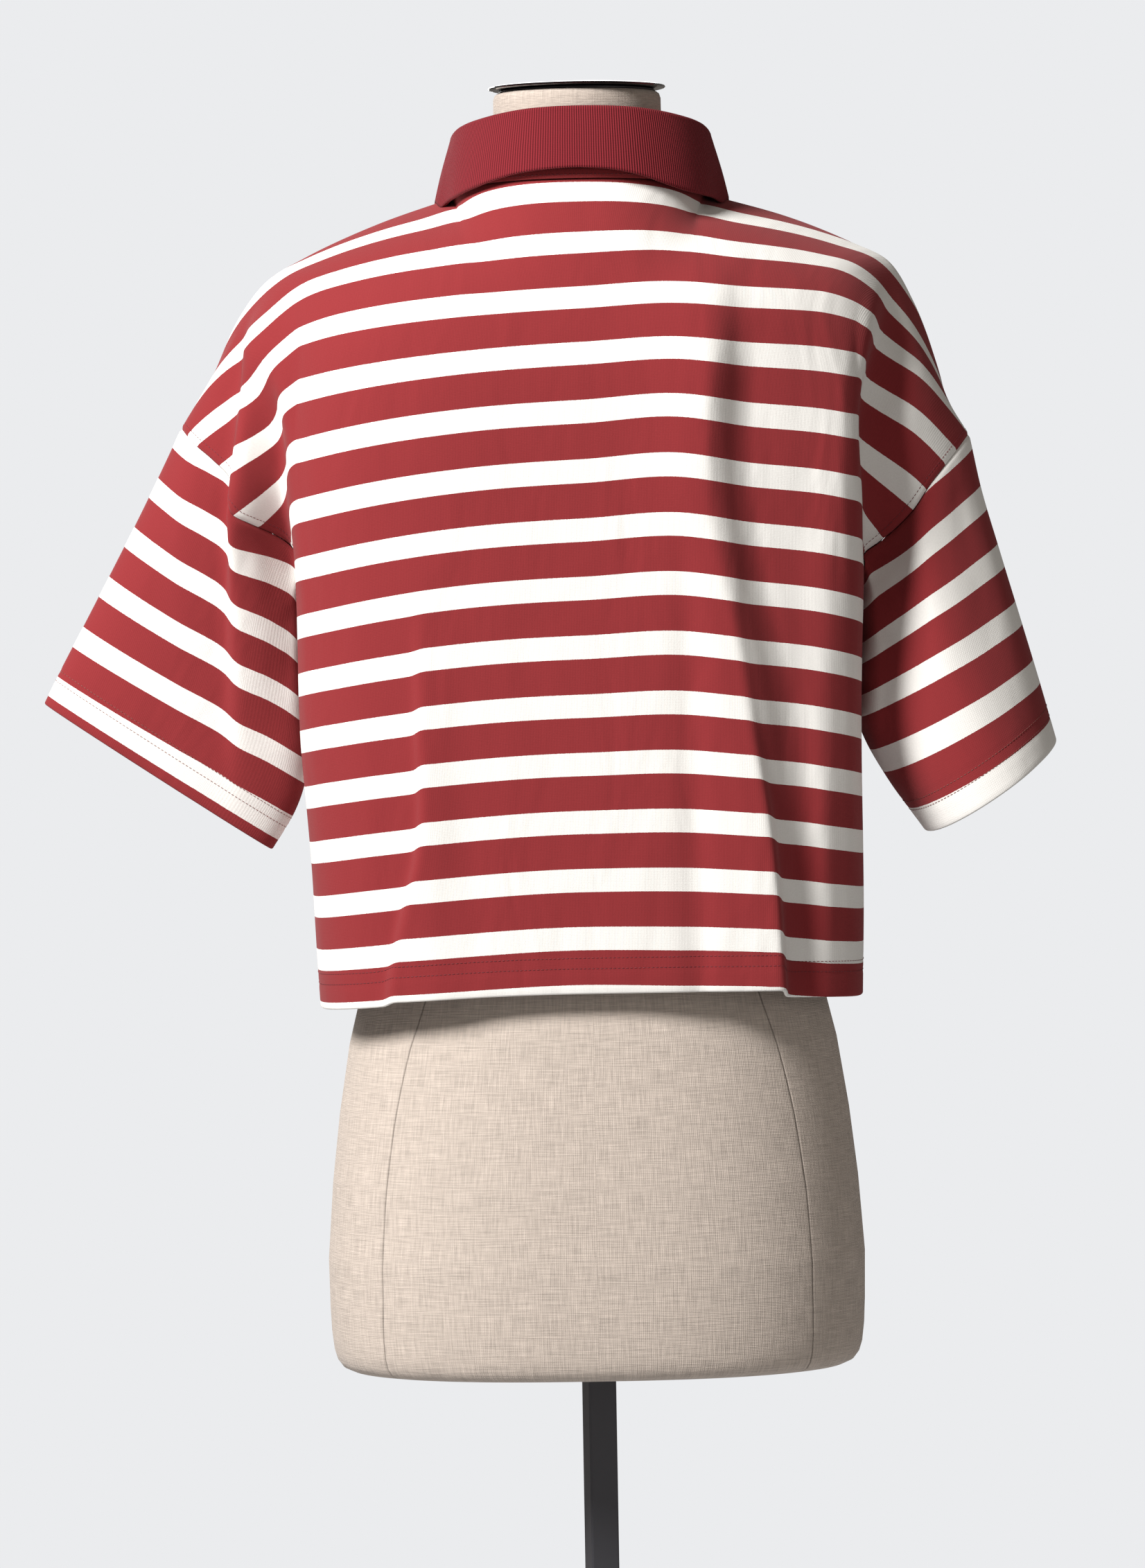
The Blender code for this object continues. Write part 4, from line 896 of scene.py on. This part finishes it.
def collarSheet(qList, cloth, dip=(0, 0, 1), stand=14, bend=11, fall=24):  # half of it, as rows of points
    point, out = neckPlace(qList)
    edgePoint, edgeOut = neckPlace(qList - collar["spread"] * (qList / collar["end"]) ** 4)
    fold = collar["foldRadius"]
    deep, dipAt, dipWide = dip
    columns = []
    for q, at, side, edgeAt, edgeSide in zip(qList, point, out, edgePoint, edgeOut):
        rows = {key: smooth(collar["rows"], key, q) for key in ("stand", "lean", "reach", "edge")}
        crown = at + side * rows["lean"] + up * (rows["stand"] - fold)
        foot = at - side * collar["wall"] + up * collar["foot"]
        level = rows["edge"] - deep * math.exp(-(((q - dipAt) / dipWide) ** 2))
        edge = edgeAt + edgeSide * rows["reach"] + up * level
        hit, slope, _, _ = cloth.ray_cast(Vector((edge[0], edge[1], at[2] + 60.0)), Vector((0, 0, -1)))
        if hit is not None:
            clear = collar["hangs"] + (collar["onCloth"] - collar["hangs"]) * ease(q, *collar["cloth"])
            clear += (collar["onPlacket"] - collar["onCloth"]) * ease(q, *collar["placket"])
            edge[2] = max(edge[2], hit.z + clear / max(0.35, abs(slope.z)))
        turns = np.linspace(0, math.pi, bend)
        arc = [crown - side * fold * math.cos(a) + up * fold * math.sin(a) for a in turns]
        rise = [foot + (arc[0] - foot) * f for f in np.linspace(0, 1, stand)[:-1]]
        bulge = (side + 0.5 * up) * (collar["bulge"][0] + collar["bulge"][1] * max(0.0, q - 0.5))
        drop = np.linspace(0, 1, fall + 1)[1:]
        down = [arc[-1] + (edge - arc[-1]) * f + bulge * math.sin(math.pi * f) for f in drop]
        columns.append(rise + arc + down)
    return np.array(columns).transpose(1, 0, 2)


mirror = np.array([-1, 1, 1])


def bothHalves(left, right=None):  # a sheet from centre front to centre front, from its halves as on the left
    return np.concatenate([(left if right is None else right)[:, :0:-1] * mirror, left], axis=1)


qList = np.concatenate([np.linspace(0, 0.93, 150), np.linspace(0.935, collar["end"], 12)])
under = clothUnder([panels[1]["bare"], panels[-1]["bare"]])
half = collarSheet(qList, under)
sheet = bothHalves(half, collarSheet(qList, under, collar["rightDip"]))
sheet[..., 0] += collar["lean"] * ease(np.arange(len(sheet)), 0, 14)[:, None]
point, out = neckPlace(qList)
toward = np.zeros_like(half)
toward[-6:] = out
normal = gridNormals(sheet, bothHalves(toward))
flat = straightCut(away(sheet[-30:-29], 1), sheet)
collarCloth = gridObject("collar_rib", sheet, normal, flat, ribKnit, collar["wall"])

band = {"height": 6.5, "wall": 1.2, "end": 0.925, "rise": -0.6, "off": 0.4, "bulge": 0.35, "rows": 9}
point, out = neckPlace(np.linspace(0, band["end"], 120))
rows = []
for f in np.linspace(0, 1, band["rows"]):
    off = band["off"] + band["wall"] + band["bulge"] * np.sin(math.pi * f)
    rows.append(point + out * off + up * (band["rise"] + band["height"] * (1 - f)))
sheet = bothHalves(np.array(rows))
normal = gridNormals(sheet, bothHalves(np.array([out] * len(rows))))
flat = straightCut(away(sheet[:1], 1), sheet)
bandCloth = gridObject("neck_band_jersey", sheet, normal, flat, plainJersey, band["wall"])
bandPath = sheet[5] + normal[5] * stitch["rise"]
print("collar and band")

# The placket: two strips over the slit, with three buttons
placket = {
    "wide": 31.0,
    "columns": 33,
    "down": 0.37,
    "wall": 1.2,
    "off": 0.3,  # the air between a strip and the panel, outside and inside
    "offUnder": 0.6,
    "edgeFall": 0.35,  # how far its edges are pressed down
    "stitchIn": 2,  # columns from its edges to its stitches
    "stitchRise": 0.05,
}
button = {"radius": 5.7, "height": 2.6, "places": (14.0, 68.0, 122.0), "holeRing": 2.1855, "holeRadius": 0.85}


def stripSheet(panel, normal, wanted, rise):  # the part of a panel at the wanted X places, raised off it
    rows = [along(wanted, line[:, 0], line) for line in panel]
    lifts = unit(np.array([along(wanted, line[:, 0], lift) for line, lift in zip(panel, normal)]))
    rise = np.broadcast_to(np.asarray(rise, float), lifts.shape[:2])
    return np.array(rows) + lifts * rise[..., None], lifts


under = tList < placket["down"]
panel, lift = panels[-1]["bare"][under], panels[-1]["normal"][under]
halfWide = placket["wide"] / 2
across = np.linspace(-halfWide, halfWide, placket["columns"])
edgeFall = placket["edgeFall"] * np.exp(-(((halfWide - np.abs(across)) / 0.8) ** 2))
rises = {
    "placket_top_strip": placket["off"] + placket["wall"] - edgeFall,
    "placket_under_strip": -jersey["wall"] - placket["offUnder"],
}
strips = []
for name, rise in rises.items():
    sheet, normal = stripSheet(panel, lift, across, rise)
    sheet[0] += (sheet[1] - sheet[0]) * 0.12  # the upper end lies a little in from the panel's edge
    flat = straightCut(across, sheet)
    strips.append(gridObject(name, sheet, normal, flat, plainJersey, placket["wall"] - 0.1))
topSheet, topNormal = stripSheet(panel, lift, across, placket["off"] + placket["wall"])


def buttonTree():  # a turned blank with a ring of holes cut through it
    sockets = {"Blank": "Geometry", "Holes": "Int", "Hole Offset": "Float", "Hole Radius": "Float", "Resin": "Material"}
    tree, given = newTree("button holes", sockets)
    ring = addNode(tree, "GeometryNodeMeshCircle", {"Vertices": given["Holes"], "Radius": given["Hole Offset"]})
    bit = {"Vertices": 16, "Radius": given["Hole Radius"], "Depth": 0.02}
    drill = addNode(tree, "GeometryNodeMeshCylinder", bit)
    laid = addNode(tree, "GeometryNodeInstanceOnPoints", {"Points": ring, "Instance": drill})
    drills = addNode(tree, "GeometryNodeRealizeInstances", {0: laid})
    both = {"Mesh 1": given["Blank"], "Mesh 2": drills}
    cut = addNode(tree, "GeometryNodeMeshBoolean", both, operation="DIFFERENCE", solver="EXACT")
    return finishTree(tree, cut, given["Resin"])


def turnedMesh(name, profile, segments):  # a closed solid turned about Z from (radius, height) points, in mm
    points, faces = [], []
    for radius, height in profile:
        for i in range(segments):
            turn = 2 * math.pi * i / segments
            points.append((radius * math.cos(turn) * mm, radius * math.sin(turn) * mm, height * mm))
    for low in range(0, len(points) - segments, segments):
        for i in range(segments):
            j = (i + 1) % segments
            faces.append([low + i, low + j, low + segments + j, low + segments + i])
    faces += [list(range(segments))[::-1], list(range(len(points) - segments, len(points)))]
    mesh = bpy.data.meshes.new(name)
    mesh.from_pydata(points, [], faces)
    mesh.shade_smooth()
    mesh.set_sharp_from_angle(angle=math.radians(40))
    return mesh


def onButton(place, x, y, z):  # a point in mm from the middle of a button's underside
    return np.array(place @ Vector((x * mm, y * mm, z * mm))) / mm


# Polyester button resin, cast in rods, sliced, turned and tumbled: a soft gloss
resin = newMaterial("burgundy_polyester_resin_turned", "501E24", 0.28, {"IOR": 1.54})[0]
r = button["radius"]
buttonProfile = [
    (r * 0.72, 0.0), (r * 0.90, 0.25), (r * 0.97, 0.8), (r, 1.4), (r * 0.985, 1.9), (r * 0.94, 2.35),
    (r * 0.87, button["height"]), (r * 0.79, 2.5), (r * 0.72, 2.2), (r * 0.66, 1.95), (r * 0.56, 1.85),
]
drilled = buttonTree()
values = {"Holes": 4, "Hole Offset": button["holeRing"] * mm, "Hole Radius": button["holeRadius"] * mm}
values["Resin"] = resin
middle = placket["columns"] // 2
middleRun = runLengths(topSheet[:, middle])
buttons, crossPaths, holePaths = [], [], []
for number, down in enumerate(button["places"], 1):
    at = Vector(along(down, middleRun, topSheet[:, middle]) * mm)
    facing = Vector(along(down, middleRun, topNormal[:, middle]))
    place = Matrix.Translation(at + facing * 0.3 * mm) @ facing.to_track_quat("Z", "Y").to_matrix().to_4x4()
    blank = placed("blank", turnedMesh("blank", buttonProfile, 56))
    done = applied(blank, drilled, "button_%d_drilled" % number, values)
    done.data.transform(place)
    done.data.set_sharp_from_angle(angle=math.radians(40))
    buttons.append(done)
    o = button["holeRing"]
    for a, b in (((o, 0), (0, o)), ((-o, 0), (0, -o))):  # two threads arch over the resin between two holes
        for shift in (-0.154, 0.154):
            line = []
            for f in np.linspace(0, 1, 7):
                x, y = a[0] + (b[0] - a[0]) * f, a[1] + (b[1] - a[1]) * f
                z = 2.05 + 0.25 * math.sin(math.pi * f) - 1.1 * (f in (0.0, 1.0))
                line.append(onButton(place, x + shift, y + shift, z))
            crossPaths.append(line)
    for x in (-0.55, 0.55):  # the two sides of the buttonhole
        holePaths.append([onButton(place, x, y, 0.05) for y in np.linspace(-7.5, 7.5, 16)])
crossThreads = stitchRows("button_threads", crossPaths, red, pitch=0.35, long=0.9, radius=0.24)
buttonholes = stitchRows("buttonhole_stitches", holePaths, red, pitch=0.42, long=0.62, radius=0.42)
print("placket and buttons")

# Rows of stitches on the cloth

def hemPaths(piece, rows):  # the piece raised by a stitch, and its rows of stitches along the hem
    sheet = piece["sheet"]
    raised = sheet + piece["normal"] * stitch["rise"]
    run = away(sheet, 0, fromEnd=True)[::-1].T
    return raised, [pointsAt(raised[::-1].transpose(1, 0, 2), run, row) for row in rows]


bodyPaths, sleevePaths = [], []
upper = tList <= underT
for piece in panels.values():
    raised, paths = hemPaths(piece, hemRows)
    bodyPaths += paths
    raised, sheet = raised[upper], piece["sheet"][upper]
    bodyPaths.append(pointsAt(raised[:, ::-1], away(sheet, 1, fromEnd=True)[:, ::-1], armholeRow))
    bodyPaths.append(pointsAt(raised, away(sheet, 1), armholeRow))
for piece in sleeves.values():
    sleevePaths += [np.concatenate([path, path[:1]]) for path in hemPaths(piece, sleeveHemRows)[1]]
bodyStitches = stitchRows("body_stitches", bodyPaths, red)
sleeveStitches = stitchRows("sleeve_stitches", sleevePaths, dusky)
bandStitches = stitchRows("neck_band_stitches", [bandPath], red)
raised, edgeIn = topSheet + topNormal * placket["stitchRise"], placket["stitchIn"]
placketPaths = [raised[2:, edgeIn], raised[2:, -1 - edgeIn]]
placketPaths += [row[edgeIn:-edgeIn] for row in (raised[-1] * 0.35 + topSheet[-2] * 0.65, raised[-6])]
placketStitches = stitchRows("placket_stitches", placketPaths, red)
print("stitches")

# The dress form: height, half width, depth behind and before, squareness
form = {
    "sections": table(
        "height wide back front square",
        (810.5, 150, 108, 99, 2.5), (811.3, 156, 112, 102, 2.5), (813.5, 161, 115, 104.5, 2.5),
        (817.5, 164, 117, 106, 2.5), (824, 166, 118, 107, 2.5), (835, 167.3, 118.6, 107.8, 2.5),
        (850, 168, 119, 108, 2.5), (880, 168.5, 118.5, 108, 2.5), (928, 165, 115, 107, 2.45),
        (971, 160, 110, 105, 2.4), (1015, 153, 103, 102, 2.4), (1060, 142, 95, 98, 2.4),
        (1105, 129, 86, 94, 2.35), (1150, 121, 79, 91, 2.3), (1200, 124, 79, 95, 2.3),
        (1250, 133, 84, 107, 2.35), (1300, 143, 91, 119, 2.4), (1340, 150, 96, 123, 2.45),
        (1380, 156, 99.5, 118, 2.5), (1420, 164, 100, 104, 2.5), (1450, 173, 96, 90, 2.35),
        (1472, 180.5, 90, 73, 2.1), (1485, 183.5, 85, 63, 1.85), (1493, 181.5, 81, 58.5, 1.65),
        (1501, 172.5, 77, 56, 1.5), (1511, 153, 72.5, 52, 1.42), (1521, 130, 68, 45, 1.36),
        (1530, 103, 62.5, 42.5, 1.36), (1538, 81, 59, 45, 1.45), (1547, 67, 56.5, 50.5, 1.65),
        (1558, 56, 54.5, 52, 1.9), (1573, 52.8, 52.8, 52.5, 2), (1604.5, 52.5, 52.5, 52.5, 2),
        (1607.3, 51.6, 51.6, 51.6, 2), (1608.5, 50, 50, 50, 2),
    ),
    # The long seams down the back and the front, as a part of the half width
    "seams": table(
        "height part",
        (800, 0.80), (860, 0.79), (930, 0.785), (1000, 0.755), (1045, 0.71),
        (1150, 0.60), (1300, 0.64), (1485, 0.52), (1545, 0.60), (1608.5, 0.70),
    ),
    "seamDeep": 0.5,
    "seamWide": 0.6,
    "seamsEnd": 1570.0,
    "margin": (0.09, 7.5),  # how near a seam the even spacing begins: at least this turn, and mm
    "closing": (0.05, 0.35, 0.65, 0.9),  # the shares of the end rows' size that close the ends
}


def formGrid():
    # Round from the centre back over the left side to the centre front and home over the right side
    rows = form["sections"]
    heights = np.unique(np.concatenate([rows["height"], np.arange(843, 1600, 5.0)]))
    near = np.array([0.45, 0.9, 1.6, 3.0, 6.0])  # mm from a seam
    keys = ("wide", "back", "front", "square")
    grid, sinks = [], []
    for z in heights:
        wide, back, front, square = (float(np.interp(z, rows["height"], rows[key])) for key in keys)
        seam = math.asin(min(0.98, float(smooth(form["seams"], "part", z))) ** (square / 2))
        step = near / wide
        margin = max(form["margin"][0], form["margin"][1] / wide)
        inner = np.linspace(0, seam - margin, 12)
        outer = np.linspace(seam + margin, math.pi / 2 - margin, 9)
        quarter = np.concatenate([inner, seam - step[::-1], [seam], seam + step, outer, math.pi / 2 - step[::-1]])
        sink = np.zeros(len(quarter))
        for place in (seam, math.pi / 2):
            sink += np.exp(-(((quarter - place) * wide / form["seamWide"]) ** 2))
        turns = np.concatenate([quarter, [math.pi / 2], math.pi - quarter[:0:-1]])
        sink = np.concatenate([sink, [1.0], sink[:0:-1]])
        c, s = np.cos(turns), np.sin(turns)
        x = wide * np.abs(s) ** (2 / square)
        y = np.where(c > 0, back, front) * np.copysign(np.abs(c) ** (2 / square), c)
        left = np.stack([x, y, np.full(len(x), z)], -1)
        grid.append(np.concatenate([left, left[-2:0:-1] * mirror]))
        sinks.append(np.concatenate([sink, sink[-2:0:-1]]) * np.clip((form["seamsEnd"] - z) / 20, 0, 1))
    sinks[0], sinks[-1] = sinks[0] * 0, sinks[-1] * 0
    for end, order in ((0, 1), (-1, -1)):
        closed = [grid[end] * np.array([share, share, 1.0]) for share in form["closing"]][::order]
        grid = closed + grid if end == 0 else grid + closed
        sinks = [sinks[end]] * len(closed) + sinks if end == 0 else sinks + [sinks[end]] * len(closed)
    return np.array(grid), np.array(sinks)


linenColour = "C4B8AD"


def linenMaterial(name):
    # Natural linen, plain woven from slubby flax yarn and stretched over the form: matt, flecked, uneven threads, with
    # painted shade darkening the colour along the seam grooves
    finish = {"Specular IOR Level": 0.2, "Sheen Weight": 0.1}
    material, tree, shader = newMaterial(name, linenColour, 0.95, finish)
    place = flatPlace(tree)
    warp = addNode(tree, "ShaderNodeMapping", {"Vector": place, "Scale": (1.0, 0.06, 1.0)})
    weft = addNode(tree, "ShaderNodeMapping", {"Vector": place, "Scale": (0.06, 1.0, 1.0)})
    warpSlub = addNode(tree, "ShaderNodeTexNoise", {"Vector": warp, "Scale": 1.1, "Detail": 2.0})
    weftSlub = addNode(tree, "ShaderNodeTexNoise", {"Vector": weft, "Scale": 1.1, "Detail": 2.0})
    slubs = addNode(tree, "ShaderNodeMath", {0: warpSlub, 1: weftSlub}, operation="ADD")
    spread = {"Value": slubs, "From Min": 0.6, "From Max": 1.4, "To Min": 0.68, "To Max": 1.14}
    tone = addNode(tree, "ShaderNodeMapRange", spread)
    # painted shade: the colour darkens to 0.42 in the seam grooves, and depth is the slub tone times this shade
    seamShadeMask = addNode(tree, "ShaderNodeAttribute", attribute_name="seam")
    shade = addNode(tree, "ShaderNodeMapRange", {"Value": seamShadeMask.outputs["Fac"], "To Min": 1.0, "To Max": 0.42})
    depth = addNode(tree, "ShaderNodeMath", {0: tone, 1: shade}, operation="MULTIPLY")
    ends = addNode(tree, "ShaderNodeTexWave", {"Vector": place, "Scale": waveScale(1.0)})
    picks = addNode(tree, "ShaderNodeTexWave", {"Vector": place, "Scale": waveScale(1.0)}, **alongY)
    both = {0: ends.outputs["Fac"], 1: picks.outputs["Fac"]}
    threads = addNode(tree, "ShaderNodeMath", both, operation="ADD")
    height = addNode(tree, "ShaderNodeMath", {0: threads, 1: 0.35, 2: slubs}, **multiplyAdd)
    weave = {"Height": height, "Strength": 0.5, "Distance": 0.4 * mm}
    finishCloth(tree, shader, linear(linenColour), depth, weave)
    return material


linen = linenMaterial("natural_linen_woven")
grid, sink = formGrid()
normal = tubeNormals(grid)
shown = grid - normal * (sink * form["seamDeep"])[..., None]
around = np.array([runLengths(np.append(line, line[:1], axis=0)) for line in grid])
upward = away(grid, 0)[:, :1]
around *= around[:, -1].mean() / around[:, -1:]  # so that the threads meet at the centre back
flat = np.stack([around, np.tile(upward, around.shape[1])], -1)
# the sink of the seams shapes their grooves and also paints shade into the linen there
formCloth = gridObject("form_linen", shown, normal, flat, linen, wrap=True, seams=sink)
print("form")

# Polished chrome on a turned brass disc: a mirror with a thin bright rim
chrome = newMaterial("chrome_plated_brass_polished", "85868A", 0.12, {"Metallic": 1.0})[0]
# Semi-matt black powder coat on steel: faint orange peel
coat, tree, shader = newMaterial("black_powder_coated_steel", "3C3C41", 0.42)
place = addNode(tree, "ShaderNodeTexCoord").outputs["Object"]
peel = addNode(tree, "ShaderNodeTexNoise", {"Vector": place, "Scale": 900.0, "Detail": 1.0})
bump = addNode(tree, "ShaderNodeBump", {"Height": peel, "Strength": 0.15, "Distance": 0.1 * mm})
feed(tree, shader, {"Normal": bump})
for node, material in (("neck_cap", chrome), ("neck_boss", coat), ("pole", coat), ("base", coat)):
    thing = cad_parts[node]
    thing.data.materials.clear()
    thing.data.materials.append(material)

# What each piece stands for and rides on
shown = [
    (panels[1]["thing"], "back_panel", "striped_jersey"),
    (panels[-1]["thing"], "front_panel", "striped_jersey"),
    (sleeves["left"]["thing"], "sleeve_left", "striped_jersey"),
    (sleeves["right"]["thing"], "sleeve_right", "striped_jersey"),
    (collarCloth, "collar", "rib_knit"),
    (bandCloth, "neck_band", "plain_jersey"),
    (strips[0], "placket_top", "plain_jersey"),
    (strips[1], "placket_under", "plain_jersey"),
    (buttons[0], "button_1", "button_resin"),
    (buttons[1], "button_2", "button_resin"),
    (buttons[2], "button_3", "button_resin"),
    (formCloth, "form_torso", "linen"),
]
for thing, node, slotName in shown:
    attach(thing, "root")
    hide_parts(node)
for thing in (bodyStitches, bandStitches, placketStitches, crossThreads, buttonholes, sleeveStitches):
    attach(thing, "root")


def looking(at, aim):  # stands at one place and looks at another
    return Matrix.Translation(at) @ (Vector(aim) - Vector(at)).to_track_quat("-Z", "Y").to_matrix().to_4x4()


# The camera stands level with the collar's foot, a little off the axis, and leans by a degree
view = {"at": (0.0102, 4.5, 1.298), "aim": (0.0102, 0.0, 1.1754), "lens": 164.43, "roll": -1.0}
eye = bpy.data.cameras.new("camera")
eye.lens = view["lens"]
eye.sensor_width = 36.0
camera = placed("camera", eye)
camera.matrix_world = looking(view["at"], view["aim"]) @ Matrix.Rotation(math.radians(view["roll"]), 4, "Z")
bpy.context.scene.camera = camera

# Soft studio light: a large key high on the picture's left, a wide weak fill, and a pale room
lights = (
    ("key", (2.4, 2.3, 3.7), 1.3, 308.0, "FFFCFA"),
    ("fill", (-2.6, 2.6, 1.6), 2.0, 12.0, "FFFAF5"),
    ("front", (0.8, -2.8, 2.4), 2.2, 55.0, "FFFFFF"),
)
for name, at, wide, power, colour in lights:
    lamp = bpy.data.lights.new(name, "AREA")
    lamp.shape = "DISK"
    lamp.size = wide
    lamp.energy = power
    lamp.color = linear(colour)[:3]
    placed(name, lamp).matrix_world = looking(at, (0, 0, 1.3))

room = bpy.data.worlds.new("pale room")
bpy.context.scene.world = room
room.use_nodes = True
roomTree = room.node_tree
roomTree.nodes.clear()
seen = addNode(roomTree, "ShaderNodeBackground", {"Color": linear("EBECEE"), "Strength": 1.0})
cast = addNode(roomTree, "ShaderNodeBackground", {"Color": linear("EEE4DA"), "Strength": 0.18})
ray = addNode(roomTree, "ShaderNodeLightPath")
mixed = addNode(roomTree, "ShaderNodeMixShader", {0: ray.outputs["Is Camera Ray"], 1: cast, 2: seen})
addNode(roomTree, "ShaderNodeOutputWorld", {"Surface": mixed})
bpy.context.scene.view_settings.view_transform = "Standard"

floorPaint = newMaterial("pale_matt_floor_paint", "B6B7B9", 0.9)[0]
bpy.ops.mesh.primitive_circle_add(vertices=96, radius=2.6, fill_type="NGON", location=(0, 0, -0.0005))
floor = bpy.context.object
floor.name = "floor"
floor.data.materials.append(floorPaint)
